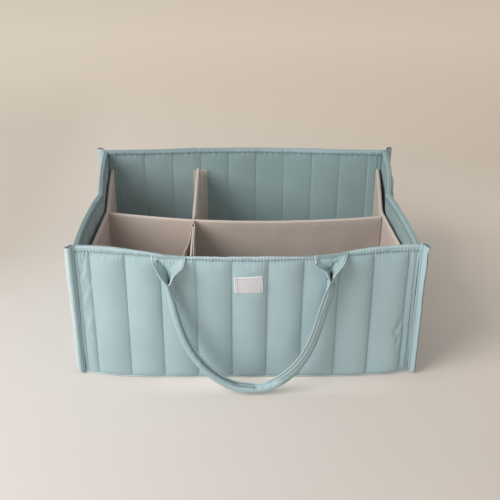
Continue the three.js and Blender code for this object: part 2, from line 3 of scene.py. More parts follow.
import bpy
import mathutils
import numpy as np
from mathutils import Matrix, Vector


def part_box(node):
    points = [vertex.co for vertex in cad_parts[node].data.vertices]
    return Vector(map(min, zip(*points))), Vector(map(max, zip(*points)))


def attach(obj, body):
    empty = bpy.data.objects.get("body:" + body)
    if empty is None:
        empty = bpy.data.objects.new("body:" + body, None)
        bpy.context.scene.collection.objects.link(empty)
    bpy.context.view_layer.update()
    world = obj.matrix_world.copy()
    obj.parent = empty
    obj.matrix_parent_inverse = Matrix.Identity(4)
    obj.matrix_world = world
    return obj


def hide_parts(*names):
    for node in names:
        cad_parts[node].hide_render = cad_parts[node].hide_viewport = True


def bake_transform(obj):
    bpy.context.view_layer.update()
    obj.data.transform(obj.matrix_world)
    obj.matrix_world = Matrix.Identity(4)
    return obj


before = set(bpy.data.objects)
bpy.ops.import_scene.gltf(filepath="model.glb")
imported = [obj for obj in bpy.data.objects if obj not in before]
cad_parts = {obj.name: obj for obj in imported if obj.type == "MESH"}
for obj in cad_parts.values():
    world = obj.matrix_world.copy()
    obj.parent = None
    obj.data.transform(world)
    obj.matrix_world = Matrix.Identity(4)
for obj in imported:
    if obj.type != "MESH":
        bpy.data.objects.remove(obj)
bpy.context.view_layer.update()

MM = 0.001

# The frame's own measures, in metres
WIDTH_HALF = 0.2
DEPTH_HALF = 0.14
HEIGHT = 0.178
MITRE = 0.00021
WALL = 0.0064
LINING_DEPTH = 0.0044
PITCH = 0.041
NARROWEST = 0.008
PANEL_BOTTOM = 0.0033
BASE_TOP = 0.0086
INSERT_BOTTOM = 0.0089
INSERT_TOP = 0.152
FRONT_TOP_BOW = 0.023
FRONT_BOTTOM_BOW = 0.012
BACK_TOP_BOW = 0.010
BACK_BOTTOM_BOW = 0.006
LEFT_FOLD = 0.011
RIGHT_FOLD = 0.015

# The hem's valley, where its stitching pulls it to the wall
HEM_FOOT = 0.1713

LINE_CELLS = 512
SHEET_CELLS = 128
noise_tables = {}


def smooth(t):
    """A soft step from 0 to 1."""
    t = np.clip(t, 0, 1)
    return t * t * (3 - 2 * t)


def lerp(a, b, t):
    return a + (b - a) * t


def hill(x, middle, wide):
    """A rounded hill, 1 high at its middle."""
    return np.exp(-((x - middle) / wide) ** 2)


def fading(distance, reach):
    """Falls off from 1 with distance."""
    return np.exp(-np.maximum(distance, 0) / reach)


def within(x, reach, soft):
    """1 up to a reach, softly down to 0 before it."""
    return smooth((reach - x) / soft)


def beyond(x, reach, soft):
    """0 up to a reach, softly up to 1 after it."""
    return smooth((x - reach) / soft)


def faded(distance, weight, reach):
    return weight * fading(distance, reach)


def quarter_round(t, least=0.0):
    """Rises steeply from 0 and levels off at 1."""
    return np.sqrt(np.clip(1 - (1 - np.clip(t, 0, 1)) ** 2, least, 1))


def running(path):
    """Distance along a path of points, from its start."""
    return np.concatenate([[0], np.cumsum(np.linalg.norm(np.diff(path, axis=0), axis=1))])


def noise_table(seed, shape):
    """Random values from -1 to 1, drawn once for each seed and shape."""
    if (seed, shape) not in noise_tables:
        noise_tables[seed, shape] = np.random.default_rng(seed).uniform(-1, 1, shape)
    return noise_tables[seed, shape]


def ripple(seed, x):
    """Smooth noise along a line, from -1 to 1, with one value for each unit."""
    table = noise_table(seed, LINE_CELLS)
    cell = np.floor(x).astype(int)
    return lerp(table[cell % LINE_CELLS], table[(cell + 1) % LINE_CELLS], smooth(x - cell))


def ripples(seed, x, y):
    """Smooth noise over a surface, from -1 to 1."""
    table = noise_table(seed, (SHEET_CELLS, SHEET_CELLS))
    i, j = np.floor(x).astype(int), np.floor(y).astype(int)
    u, v = smooth(x - i), smooth(y - j)
    i, j, i_next, j_next = (k % SHEET_CELLS for k in (i, j, i + 1, j + 1))
    low = lerp(table[i, j], table[i_next, j], u)
    high = lerp(table[i, j_next], table[i_next, j_next], u)
    return lerp(low, high, v)


def unit(v):
    return v / np.maximum(np.linalg.norm(v, axis=-1, keepdims=True), 1e-12)


# Meshes

def build_mesh(name, points, quads, caps, uv, marks, sharp):
    """A closed mesh that faces outwards, with its UV map and its marks for the materials."""
    points = np.asarray(points, float)
    a, b, c, d = (points[quads[:, k]] for k in range(4))
    volume = float((a * np.cross(b, c)).sum() + (a * np.cross(c, d)).sum())
    for cap in caps:
        first = points[cap[0]]
        volume += float((first * np.cross(points[cap[1:-1]], points[cap[2:]])).sum())
    if volume < 0:
        quads = quads[:, ::-1]
        caps = [cap[::-1] for cap in caps]
    corners = np.concatenate([quads.ravel(), *caps]).astype(np.int32)
    counts = [4] * len(quads) + [len(cap) for cap in caps]
    starts = np.concatenate([[0], np.cumsum(counts)[:-1]]).astype(np.int32)
    mesh = bpy.data.meshes.new(name)
    mesh.vertices.add(len(points))
    mesh.vertices.foreach_set("co", points.astype(np.float32).ravel())
    mesh.loops.add(len(corners))
    mesh.loops.foreach_set("vertex_index", corners)
    mesh.polygons.add(len(counts))
    mesh.polygons.foreach_set("loop_start", starts)
    mesh.update(calc_edges=True)
    mesh.validate()
    layer = mesh.uv_layers.new(name="UVMap")
    layer.data.foreach_set("uv", np.asarray(uv, np.float32)[corners].ravel())
    for mark, values in marks.items():
        attribute = mesh.attributes.new(mark, "FLOAT", "POINT")
        attribute.data.foreach_set("value", np.asarray(values, np.float32).ravel())
    mesh.shade_smooth()
    mesh.set_sharp_from_angle(angle=math.radians(sharp))
    obj = bpy.data.objects.new(name, mesh)
    bpy.context.scene.collection.objects.link(obj)
    return obj


def grid_uv(face):
    """A UV map in metres, from the grid's mean steps."""
    along = np.linalg.norm(np.diff(face, axis=1), axis=2).mean(axis=0)
    up = np.linalg.norm(np.diff(face, axis=0), axis=2).mean(axis=1)
    u = np.concatenate([[0], np.cumsum(along)])
    v = np.concatenate([[0], np.cumsum(up)])
    return np.stack(np.broadcast_arrays(u[None, :], v[:, None]), axis=2)


def closed_grid(name, face, back, marks=None, sharp=50):
    """A closed piece between two grids of points. The back may have only its two end rows."""
    rows, columns = face.shape[:2]
    back_rows = back.shape[0]
    f = np.arange(rows * columns).reshape(rows, columns)
    b = rows * columns + np.arange(back_rows * columns).reshape(back_rows, columns)

    def strip(p, q):
        return np.stack([p[:-1], p[1:], q[1:], q[:-1]], axis=-1).reshape(-1, 4)

    quads = [np.concatenate([strip(f[r], f[r + 1]) for r in range(rows - 1)])]
    quads.append(np.concatenate([strip(b[r + 1], b[r]) for r in range(back_rows - 1)]))
    quads.append(strip(b[0], f[0]))
    quads.append(strip(f[-1], b[-1]))
    caps = []
    if back_rows == rows:
        quads.append(strip(f[:, 0], b[:, 0]))
        quads.append(strip(b[:, -1], f[:, -1]))
    else:
        caps = [
            np.concatenate([f[:, 0], b[::-1, 0]]),
            np.concatenate([f[::-1, -1], b[:, -1]]),
        ]
    face_uv = grid_uv(face)
    back_uv = face_uv if back_rows == rows else face_uv[[0, -1]]
    uv = np.concatenate([face_uv.reshape(-1, 2), back_uv.reshape(-1, 2)])
    points = np.concatenate([face.reshape(-1, 3), back.reshape(-1, 3)])
    filled = {}
    for key, value in (marks or {}).items():
        if not isinstance(value, tuple):
            value = (value, value if back_rows == rows else np.zeros(back_rows * columns))
        filled[key] = np.concatenate([np.ravel(value[0]), np.ravel(value[1])])
    return build_mesh(name, points, np.concatenate(quads), caps, uv, filled, sharp)


# Thread: every stitch is a small, flattened capsule that lies on the cloth
THREAD_RINGS = ((-1.0, 0.0), (-0.86, 0.55), (-0.45, 1.0), (0.45, 1.0), (0.86, 0.55), (1.0, 0.0))
THREAD_SIDES = 6
THREAD_FLATNESS = 0.8
THREAD_LIFT_SHARE = 0.35
THREAD_AIM_SHARE = 0.4
THREAD_UV = 1.2 * MM
THREAD_SHARP = 80


class Thread:
    """Collects rows of stitches, and makes one piece of them."""

    def __init__(self):
        self.centres, self.along, self.normals, self.sizes = [], [], [], []

    def row(self, path, normal, pitch=3.2 * MM, share=0.74, radius=0.27 * MM, sink=0.0):
        """One row of stitches along a path, on the side that the normal points to."""
        path = np.asarray(path, float)
        normal = np.broadcast_to(np.asarray(normal, float), path.shape)
        reach = running(path)
        count = int(reach[-1] / pitch)
        if count < 1:
            return
        spare = (reach[-1] - count * pitch) / 2
        middles = spare + pitch * (np.arange(count) + 0.5)

        def at(values, distance):
            return np.stack([np.interp(distance, reach, values[:, k]) for k in range(3)], axis=1)

        aim = pitch * THREAD_AIM_SHARE
        heading = unit(at(path, middles + aim) - at(path, middles - aim))
        up = at(normal, middles)
        up = unit(up - heading * (up * heading).sum(axis=1, keepdims=True))
        self.centres.append(at(path, middles) + up * (radius * THREAD_LIFT_SHARE - sink))
        self.along.append(heading)
        self.normals.append(up)
        self.sizes.append(np.tile([pitch * share / 2, radius], (count, 1)))

    def piece(self, name):
        lists = (self.centres, self.along, self.normals, self.sizes)
        centre, along, up, size = (np.concatenate(x) for x in lists)
        side = np.cross(along, up)
        turns = 2 * np.pi * np.arange(THREAD_SIDES) / THREAD_SIDES
        rings = []
        for place, wide in THREAD_RINGS[1:-1]:
            for turn in turns:
                rings.append(
                    centre + along * size[:, :1] * place
                    + side * size[:, 1:] * wide * math.cos(turn)
                    + up * size[:, 1:] * wide * math.sin(turn) * THREAD_FLATNESS
                )
        ends = [centre + along * size[:, :1] * place for place in (-1, 1)]
        points = np.stack([*rings, *ends], axis=1)
        each = points.shape[1]
        last = (len(THREAD_RINGS) - 3) * THREAD_SIDES
        following = [(k, (k + 1) % THREAD_SIDES) for k in range(THREAD_SIDES)]
        quads, caps = [], []
        for low in range(0, last, THREAD_SIDES):
            high = low + THREAD_SIDES
            quads.extend([low + k, low + n, high + n, high + k] for k, n in following)
        for k, n in following:
            caps.append([each - 2, n, k])
            caps.append([each - 1, last + k, last + n])
        shift = np.arange(len(centre))[:, None, None] * each
        all_quads = (np.array(quads)[None] + shift).reshape(-1, 4)
        all_caps = list((np.array(caps)[None] + shift).reshape(-1, 3))
        flat = points.reshape(-1, 3)
        u = np.concatenate([np.repeat([p for p, _ in THREAD_RINGS[1:-1]], THREAD_SIDES), [-1, 1]])
        uv = np.stack([np.tile(u, len(centre)) * THREAD_UV, np.zeros(len(flat))], axis=1)
        return build_mesh(name, flat, all_quads, all_caps, uv, {}, THREAD_SHARP)


# Materials

def srgb(r, g, b):
    def linear(c):
        c /= 255
        return c / 12.92 if c <= 0.04045 else ((c + 0.055) / 1.055) ** 2.4
    return (linear(r), linear(g), linear(b), 1)


class Nodes:
    """A short way to write a material's nodes."""

    def __init__(self, name):
        self.material = bpy.data.materials.new(name)
        self.material.use_nodes = True
        self.tree = self.material.node_tree
        self.shader = self.tree.nodes["Principled BSDF"]

    def feed(self, socket, value):
        if isinstance(value, bpy.types.NodeSocket):
            self.tree.links.new(value, socket)
        else:
            socket.default_value = value

    def add(self, kind, inputs=None, **settings):
        node = self.tree.nodes.new(kind)
        for key, value in settings.items():
            setattr(node, key, value)
        for key, value in (inputs or {}).items():
            self.feed(node.inputs[key], value)
        return node

    def uv(self):
        return self.add("ShaderNodeUVMap", uv_map="UVMap").outputs["UV"]

    def place(self):
        return self.add("ShaderNodeTexCoord").outputs["Object"]

    def mark(self, name):
        return self.add("ShaderNodeAttribute", attribute_name=name).outputs["Fac"]

    def split(self, vector):
        parts = self.add("ShaderNodeSeparateXYZ", {"Vector": vector}).outputs
        return parts["X"], parts["Y"]

    def maths(self, operation, a, b=0.0, clamp=False):
        return self.add("ShaderNodeMath", {0: a, 1: b}, operation=operation, use_clamp=clamp).outputs[0]

    def product(self, value, *others, clamp=False):
        for other in others:
            value = self.maths("MULTIPLY", value, other, clamp)
        return value

    def spread(self, value, low, high, to_low=0.0, to_high=1.0):
        inputs = {"Value": value, "From Min": low, "From Max": high, "To Min": to_low, "To Max": to_high}
        return self.add("ShaderNodeMapRange", inputs).outputs["Result"]

    def blend(self, share, a, b):
        node = self.add("ShaderNodeMix", data_type="RGBA")
        for index, value in ((0, share), (6, a), (7, b)):
            self.feed(node.inputs[index], value)
        return node.outputs[2]

    def noise(self, vector, scale, detail=3.0, rough=0.5):
        inputs = {"Vector": vector, "Scale": scale, "Detail": detail, "Roughness": rough}
        return self.add("ShaderNodeTexNoise", inputs).outputs["Fac"]

    def shade(self, **sockets):
        for key, value in sockets.items():
            self.feed(self.shader.inputs[key.replace("_", " ")], value)
        return self.material

    def bump(self, height, strength, distance, under=None):
        inputs = {"Height": height, "Strength": strength, "Distance": distance}
        if under is not None:
            inputs["Normal"] = under
        return self.add("ShaderNodeBump", inputs).outputs["Normal"]


# Depths of the cloth's relief
WEAVE_DEPTH = 0.12 * MM
CRINKLE_DEPTH = 0.4 * MM
FOLD_DEPTH = 1.1 * MM
# How far the painted shade mark darkens the cloth towards its dark colour
PAINTED_SHADE_SHARE = 0.8


def cloth(name, colours, weave=0.42 * MM, rough=0.5, sheen=0.25, crinkle=0.35, specular=0.4):
    """Woven cloth: plain weave from the UV map, which is in metres, fine crinkles and drifting colour.

    Its four colours are the base, the deeper drift, the pale of flecks and of the edge mark, and the dark of
    painted shade. The edge mark is a painted highlight on most edges, and the frayed rim on the label.
    """
    colour, deep, pale, painted_dark = (srgb(*each) for each in colours)
    n = Nodes(name)
    uv, place = n.uv(), n.place()
    turn = 2 * math.pi / weave
    warp, weft = (n.maths("SINE", n.product(run, turn)) for run in n.split(uv))
    fibres = n.noise(uv, 5200, 2.0)
    clouds = n.noise(place, 9, 4.0, 0.55)
    folds = n.noise(place, 70, 4.0, 0.6)
    fine = n.noise(place, 420, 3.0, 0.6)
    tint = n.blend(n.spread(clouds, 0.3, 0.7), deep, colour)
    tint = n.blend(n.spread(fibres, 0.2, 0.8, 0.0, 0.12), tint, pale)
    # The edge mark brings in the pale colour in patches: a painted highlight, and on the label its frayed rim
    wear_and_highlight = n.spread(fine, 0.3, 0.7, 0.6, 0.95)
    tint = n.blend(n.product(n.mark("edge"), wear_and_highlight, clamp=True), tint, pale)
    # The painted shade mark brings in the dark colour: shade in seams, creases, hollows and on shaded sides
    tint = n.blend(n.product(n.mark("painted_shade"), PAINTED_SHADE_SHARE, clamp=True), tint, painted_dark)
    normal = n.bump(n.product(warp, weft), 0.16, WEAVE_DEPTH)
    normal = n.bump(fine, crinkle * 0.5, CRINKLE_DEPTH, normal)
    normal = n.bump(folds, crinkle, FOLD_DEPTH, normal)
    roughness = n.spread(fine, 0.2, 0.8, rough - 0.05, rough + 0.07)
    return n.shade(Base_Color=tint, Roughness=roughness, Normal=normal, Sheen_Weight=sheen,
                   Sheen_Roughness=0.4, Specular_IOR_Level=specular)


def thread_finish(name, colour, deep):
    """Twisted thread."""
    n = Nodes(name)
    ply = n.add("ShaderNodeTexWave", {"Vector": n.uv(), "Scale": 900.0, "Distortion": 2.0, "Detail": 1.0})
    drift = n.noise(n.place(), 160, 2.0)
    tint = n.blend(n.spread(drift, 0.3, 0.7, 0.2, 1.0), srgb(*deep), srgb(*colour))
    normal = n.bump(ply.outputs["Fac"], 0.4, 0.1 * MM)
    return n.shade(Base_Color=tint, Roughness=0.55, Normal=normal, Sheen_Weight=0.2)


def loop_finish(name, colour, deep):
    """Hook or loop tape: a thick nap of short fibres."""
    n = Nodes(name)
    place = n.place()
    nap = n.noise(place, 1500, 4.0, 0.7)
    clump = n.noise(place, 260, 3.0, 0.6)
    tint = n.blend(n.spread(nap, 0.3, 0.7), srgb(*deep), srgb(*colour))
    normal = n.bump(clump, 0.5, 0.6 * MM, n.bump(nap, 0.7, 0.4 * MM))
    return n.shade(Base_Color=tint, Roughness=0.9, Normal=normal, Sheen_Weight=0.4)


def board_finish(name, colour, deep):
    """Pressed fibre board."""
    n = Nodes(name)
    place = n.place()
    fibre = n.noise(place, 900, 5.0, 0.65)
    blot = n.noise(place, 30, 3.0)
    tint = n.blend(n.spread(fibre, 0.25, 0.75), srgb(*deep), srgb(*colour))
    tint = n.blend(n.spread(blot, 0.3, 0.7, 0.0, 0.25), tint, srgb(*deep))
    rough = n.spread(fibre, 0.2, 0.8, 0.7, 0.9)
    return n.shade(Base_Color=tint, Roughness=rough, Normal=n.bump(fibre, 0.35, 0.3 * MM))


SAGE = cloth("sage_fabric", ((173, 199, 206), (161, 188, 194), (214, 228, 230), (88, 112, 114)))
SAGE_LINING = cloth("sage_lining", ((158, 184, 188), (146, 171, 174), (188, 206, 207), (78, 100, 101)))
HANDLE = cloth("handle_fabric", ((173, 199, 205), (156, 183, 187), (226, 238, 239), (84, 108, 110)))
BLUSH = cloth("insert_fabric", ((205, 190, 182), (190, 176, 167), (222, 211, 203), (120, 104, 96)),
              weave=0.5 * MM, rough=0.68, sheen=0.35, crinkle=0.3, specular=0.25)
LABEL = cloth("label_weave", ((222, 221, 227), (208, 206, 211), (246, 247, 250), (132, 130, 133)),
              weave=0.6 * MM, rough=0.6, sheen=0.3, crinkle=0.15, specular=0.3)
CREAM = board_finish("cream_stiffener", (232, 224, 210), (216, 206, 189))
CARD = board_finish("card_board", (196, 182, 158), (172, 156, 130))
TAPE = loop_finish("loop_tape", (226, 220, 210), (202, 194, 182))
SAGE_THREAD = thread_finish("sage_thread", (196, 216, 218), (172, 196, 198))
HANDLE_THREAD = thread_finish("handle_thread", (172, 196, 200), (146, 170, 172))
BLUSH_THREAD = thread_finish("blush_thread", (220, 207, 199), (200, 186, 176))
LABEL_THREAD = thread_finish("label_thread", (236, 233, 228), (214, 210, 204))


def dress(obj, material, body="shell", replaces=()):
    obj.data.materials.append(material)
    if body:
        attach(obj, body)
    if replaces:
        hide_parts(*replaces)
    return obj


# Walls

class Wall:
    """One wall: a line along its outside, its channel seams and how it bulges."""

    def __init__(self, name, half, reach, seam_shift, bulge, place):
        self.name, self.half, self.reach = name, half, reach
        self.bulge, self.place = bulge, place
        first = math.ceil((NARROWEST - half - seam_shift) / PITCH - 0.5)
        seams = []
        while seam_shift + PITCH * (first + 0.5) < half - NARROWEST:
            seams.append(seam_shift + PITCH * (first + 0.5))
            first += 1
        self.seams = seams

    def point(self, along, depth, z):
        """A point at a place along the outer line, a depth below it and a height."""
        along, depth, z = np.broadcast_arrays(along, depth, z)
        share = along / self.half
        across = share * (self.half - MITRE - depth)
        out = self.reach + self.bulge(share, z) - depth
        return np.stack(np.broadcast_arrays(*self.place(across, out, z)), axis=-1)

    def outwards(self, along, z):
        """The wall's outward direction at a place."""
        step = 0.5 * MM
        side = self.point(along + step, 0.0, z) - self.point(along - step, 0.0, z)
        up = self.point(along, 0.0, z + step) - self.point(along, 0.0, z - step)
        normal = unit(np.cross(side, up))
        outer = self.point(along, -MM, z) - self.point(along, 0.0, z)
        return normal * np.sign((normal * outer).sum(axis=-1, keepdims=True))


TOP_BOW_POWER = 1.6
BOTTOM_BOW_POWER = 5.5
HALF_BOW_POWER = 0.7
FOLD_ROUNDING = 0.0004


def bowed(top, bottom):
    def bulge(share, z):
        high = top * np.maximum(np.cos(np.pi * share / 2), 0) ** TOP_BOW_POWER
        low = bottom * (1 - np.abs(share) ** BOTTOM_BOW_POWER)
        return lerp(low, high, z / HEIGHT)
    return bulge


def folded(fold, front_bow=0.0, back_bow=0.0):
    """Folded in at the middle, with each half bowed out a little."""
    def bulge(share, z):
        bow = np.where(share < 0, front_bow, back_bow)
        bow = bow * np.maximum(np.sin(np.pi * np.abs(share)), 0) ** HALF_BOW_POWER
        return (bow - fold * (1 - np.sqrt(share ** 2 + FOLD_ROUNDING))) * z / HEIGHT
    return bulge


WALLS = {
    "front": Wall("front", WIDTH_HALF, DEPTH_HALF, 2.5 * MM, bowed(FRONT_TOP_BOW, FRONT_BOTTOM_BOW),
                  lambda a, o, z: (a, -o, z)),
    "back": Wall("back", WIDTH_HALF, DEPTH_HALF, -4 * MM, bowed(BACK_TOP_BOW, BACK_BOTTOM_BOW),
                 lambda a, o, z: (a, o, z)),
    "left": Wall("left", DEPTH_HALF, WIDTH_HALF, PITCH / 2, folded(LEFT_FOLD, 4.0 * MM, 1.6 * MM),
                 lambda a, o, z: (-o, a, z)),
    "right": Wall("right", DEPTH_HALF, WIDTH_HALF, PITCH / 2, folded(RIGHT_FOLD, 2.2 * MM, 4.2 * MM),
                  lambda a, o, z: (o, a, z)),
}

CROWN = 4.2 * MM
CROWN_POWER = 0.8
CROWN_SKEW = 0.32
CROWN_DRIFT = 0.16
DRIFT_LENGTH = 60 * MM
NARROW_POWER = 0.85
LINING_CROWN = 1.15 * MM
LINING_SLACK = 0.4
LINING_PLEAT = 0.6
RIDGE = 4.2 * MM
SEAM_PINCH = 0.35 * MM
PINCH_REACH = 1.1 * MM
PUCKER = 0.22 * MM
PUCKER_PITCH = 3.6 * MM
PUCKER_REACH = 4.5 * MM
HEAD_ROUND = 13 * MM
FOOT_ROUND = 9 * MM
PLEAT_REACH = 6.5 * MM
FOOT_REACH = 6 * MM
FOOT_PITCH = 5 * MM
PANEL_TOP = HEM_FOOT - 0.3 * MM
PANEL_BACK = 4 * MM
CHANNEL_STEPS = 44
LINING_STEPS = 20
FEWEST_STEPS = 6
SEAM_CROWDING = 0.55
# Painted shade on the side walls' linings
SIDE_LINING_SHADE = 0.16
# Wrinkles of a quilted face: seed, height, length along and up, and where they start in the noise
WRINKLES = ((2, 0.5 * MM, 26 * MM, 48 * MM, 9, 5), (3, 0.14 * MM, 8 * MM, 30 * MM, 70, 9))
# Painted shade beside a seam, at the fins, at the needle holes and right under the hem: how dark, and how far
SEAM_SHADE = (0.16, 0.7 * MM)
CORNER_SHADE = (0.8, 0.9 * MM)
HOLE_SHADE = (0.22, 3.2 * MM)
HEM_LINE_SHADE = (0.1, 0.6, 0.9 * MM)
DENT_LEAN = 0.5
DENT_RIM = 0.4
DENT_RIM_SHIFT = 1.6
# Dents of the front, listed one by one: place along, height, run along, run up, depth, lean
DENTS = (
    (181 * MM, 74 * MM, 3.6 * MM, 6 * MM, 2.2 * MM, 0.5),
    (176 * MM, 63 * MM, 3.4 * MM, 5 * MM, 1.6 * MM, -0.6),
    (180 * MM, 51 * MM, 3.2 * MM, 7 * MM, 1.3 * MM, 0.3),
    (-189 * MM, 158 * MM, 3.0 * MM, 5 * MM, 1.2 * MM, 0.5),
    (-191 * MM, 146 * MM, 3.4 * MM, 6 * MM, 1.5 * MM, 0.9),
    (-188 * MM, 130 * MM, 3.6 * MM, 7 * MM, 1.5 * MM, -0.9),
    (-192 * MM, 113 * MM, 3.2 * MM, 7 * MM, 1.3 * MM, 0.8),
    (-188 * MM, 95 * MM, 3.2 * MM, 7 * MM, 1.2 * MM, -0.8),
    (-191 * MM, 76 * MM, 3.2 * MM, 8 * MM, 1.0 * MM, 0.7),
    (-188 * MM, 55 * MM, 3.0 * MM, 8 * MM, 0.8 * MM, -0.6),
)


LABEL_WIDTH = 32 * MM
LABEL_HEIGHT = 22 * MM
LABEL_CENTRE = 141 * MM
LABEL_SHIFT = 1.2 * MM
LABEL_TILT = math.radians(3.2)
LABEL_SEAT = 3.3 * MM
LABEL_HOLD = 0.7
# Past the label's sides, then past its top and foot: how far it holds the cloth, and how softly
SIDE_HOLD, SIDE_HOLD_FADE = 2.5 * MM, 4 * MM
END_HOLD, END_HOLD_FADE = 5 * MM, 6 * MM


def label_share(along, z):
    """How far the label holds the cloth under it flat."""
    x, y = along - LABEL_SHIFT, z - LABEL_CENTRE
    across = np.abs(x * math.cos(LABEL_TILT) + y * math.sin(LABEL_TILT))
    up = np.abs(y * math.cos(LABEL_TILT) - x * math.sin(LABEL_TILT))
    side = smooth((LABEL_WIDTH / 2 + SIDE_HOLD - across) / SIDE_HOLD_FADE)
    return side * smooth((LABEL_HEIGHT / 2 + END_HOLD - up) / END_HOLD_FADE)


def channel_edges(wall):
    return np.array([-wall.half, RIDGE - wall.half, *wall.seams, wall.half - RIDGE, wall.half])


def channel_places(wall, steps):
    """Places along a wall, closer together beside each seam."""
    edges = channel_edges(wall)
    turn = np.linspace(0, 1, steps + 1)[:-1]
    crowded = lerp(turn, (1 - np.cos(np.pi * turn)) / 2, SEAM_CROWDING)
    even = np.linspace(0, 1, max(FEWEST_STEPS, steps // 3) + 1)[:-1]
    places = []
    for start, wide in zip(edges[:-1], np.diff(edges)):
        places.extend(start + wide * (crowded if wide > 2 * RIDGE else even))
    return np.array([*places, edges[-1]])


def channel_of(wall, along):
    """Which channel a place is in, how far across it, and how wide the channel is."""
    edges = channel_edges(wall)
    index = np.clip(np.searchsorted(edges, along, side="right") - 1, 0, len(edges) - 2)
    width = edges[index + 1] - edges[index]
    return index, np.clip((along - edges[index]) / width, 0, 1), width


def dents(along, z):
    """How far the listed dents press the front in, each with a low rim beside it."""
    deep = 0 * (along + z)
    for x, height, run, rise, depth, slant in DENTS:
        u = (along - x) - slant * (z - height) * DENT_LEAN
        press = hill(u, 0, run) - DENT_RIM * hill(u, DENT_RIM_SHIFT * run, run)
        deep = deep + depth * press * hill(z, height, rise)
    return deep


def quilt_depth(wall, along, z, lining=False):
    """Depth of the quilted face below the wall's outer line, and its painted shade."""
    seed = 40 * list(WALLS).index(wall.name) + (20 if lining else 0)
    front = wall.name == "front" and not lining
    slack = LINING_SLACK if lining else 1.0
    index, t, width = channel_of(wall, along)
    if front:
        t = t - CROWN_SKEW * t * (1 - t)
    gap = t * width
    near = np.minimum(gap, width - gap)
    below_hem, above_foot = PANEL_TOP - z, z - PANEL_BOTTOM
    head, foot = np.clip(below_hem / HEAD_ROUND, 0, 1), np.clip(above_foot / FOOT_ROUND, 0, 1)
    held = quarter_round(head) * quarter_round(foot)
    pleat, hole = gathers(wall, along, lining)

    arc = (4 * t * (1 - t)) ** CROWN_POWER
    crown = (LINING_CROWN if lining else CROWN) * np.minimum(1, width / PITCH) ** NARROW_POWER
    swell = crown * arc * held * (1 + CROWN_DRIFT * ripple(seed + 1, index * 3.7 + z / DRIFT_LENGTH))
    for step, high, run, rise, first, second in WRINKLES:
        swell += slack * high * arc * held * ripples(seed + step, along / run + first, z / rise + second)
    pucker = ripple(seed + 4, z / PUCKER_PITCH + 31 * (index + (t > 0.5))) * fading(near, PUCKER_REACH)
    swell += slack * PUCKER * pucker * held
    swell += (LINING_PLEAT if lining else 1.0) * pleat * fading(below_hem, PLEAT_REACH) * head ** 0.25
    at_foot = ripple(seed + 6, along / FOOT_PITCH + 300) * fading(above_foot, FOOT_REACH)
    swell += slack * PUCKER * at_foot * foot
    swell -= SEAM_PINCH * hill(near, 0, PINCH_REACH)
    if front:
        swell = lerp(swell - dents(along, z), LABEL_SEAT, LABEL_HOLD * label_share(along, z))

    # Painted shade beside the seams, at the needle holes, at the fins and right under the hem
    painted_shade = faded(near, *SEAM_SHADE) + hole * faded(below_hem, *HOLE_SHADE)
    if not lining:
        painted_shade = painted_shade + faded(wall.half - np.abs(along), *CORNER_SHADE)
    line, holes, reach = HEM_LINE_SHADE
    painted_shade = painted_shade + (line + holes * hole) * fading(below_hem, reach)
    depth = WALL + swell if lining else -swell
    return depth, np.clip(painted_shade, 0, 1)


# Heights of a quilted face's rows above its foot and below its head, closer together there
FOOT_ROWS = np.array([0, 0.35, 0.9, 1.8, 3, 4.5, 6.5, 9]) * MM
HEAD_ROWS = np.array([22, 19, 16.5, 14, 12, 10.2, 8.6, 7.2, 5.9, 4.7, 3.6, 2.6, 1.8, 1.1, 0.5, 0]) * MM
MIDDLE_ROWS = 44
HEAD_UNDER_HEM = 0.6 * MM


def quilt_rows():
    foot = PANEL_BOTTOM + FOOT_ROWS
    head = HEM_FOOT + HEAD_UNDER_HEM - HEAD_ROWS
    middle = np.linspace(foot[-1], head[0], MIDDLE_ROWS)[1:-1]
    return np.concatenate([foot, middle, head])


def quilt(wall, lining=False):
    """A wall's quilted panel or lining."""
    along = channel_places(wall, LINING_STEPS if lining else CHANNEL_STEPS)[None, :]
    z = quilt_rows()[:, None]
    depth, painted_shade = quilt_depth(wall, along, z, lining)
    face = wall.point(along, depth, z)
    back = wall.point(along, LINING_DEPTH if lining else PANEL_BACK, z[[0, -1]])
    name = f"{wall.name}_quilted_{'lining' if lining else 'panel'}"
    # The side walls' linings get painted shade all over
    if lining and wall.name in ("left", "right"):
        painted_shade = np.clip(painted_shade + SIDE_LINING_SHADE, 0, 1)
    piece = closed_grid(name, face, back, {"painted_shade": painted_shade}, sharp=75)
    old = [f"{wall.name}_lining"] if lining else [f"{wall.name}_outer_panel", f"{wall.name}_foam_core"]
    dress(piece, SAGE_LINING if lining else SAGE, replaces=old)
    return piece


# Hem outline from the outer valley over the top to the inner valley: depth and height.
# It stands full at the corners, and slim where the wall is pulled.
HEM_FULL = np.array([
    (1.3, 170.6), (0.6, 171.2), (0.1, 171.9), (-0.2, 172.9), (-0.38, 174.3), (-0.38, 175.7), (-0.2, 176.9),
    (0.3, 177.6), (1.0, 177.95), (2.2, 178.0), (3.5, 177.85), (4.6, 177.5), (5.45, 176.8), (5.9, 175.6),
    (6.05, 174.2), (6.0, 172.9), (5.6, 171.9), (5.2, 171.2), (4.7, 170.6),
]) * MM
HEM_SLIM = np.array([
    (1.3, 170.6), (0.6, 171.2), (0.1, 171.8), (-0.25, 172.5), (-0.45, 173.5), (-0.42, 174.7), (-0.2, 175.7),
    (0.2, 176.45), (0.8, 176.8), (1.5, 176.6), (2.3, 176.1), (3.1, 175.5), (3.9, 174.9), (4.7, 174.3),
    (5.5, 173.6), (5.9, 172.8), (5.85, 171.9), (5.4, 171.2), (4.7, 170.6),
]) * MM
HEM_STEP = 0.58 * MM
STITCH = 3.7 * MM
SEAM_PITCH = 3.0 * MM
SEAM_INSET = 1.5 * MM
VALLEY = (171.2 * MM, 0.95 * MM)
VALLEY_DEPTH = 0.35 * MM
NEEDLE_DEPTH = 0.5 * MM
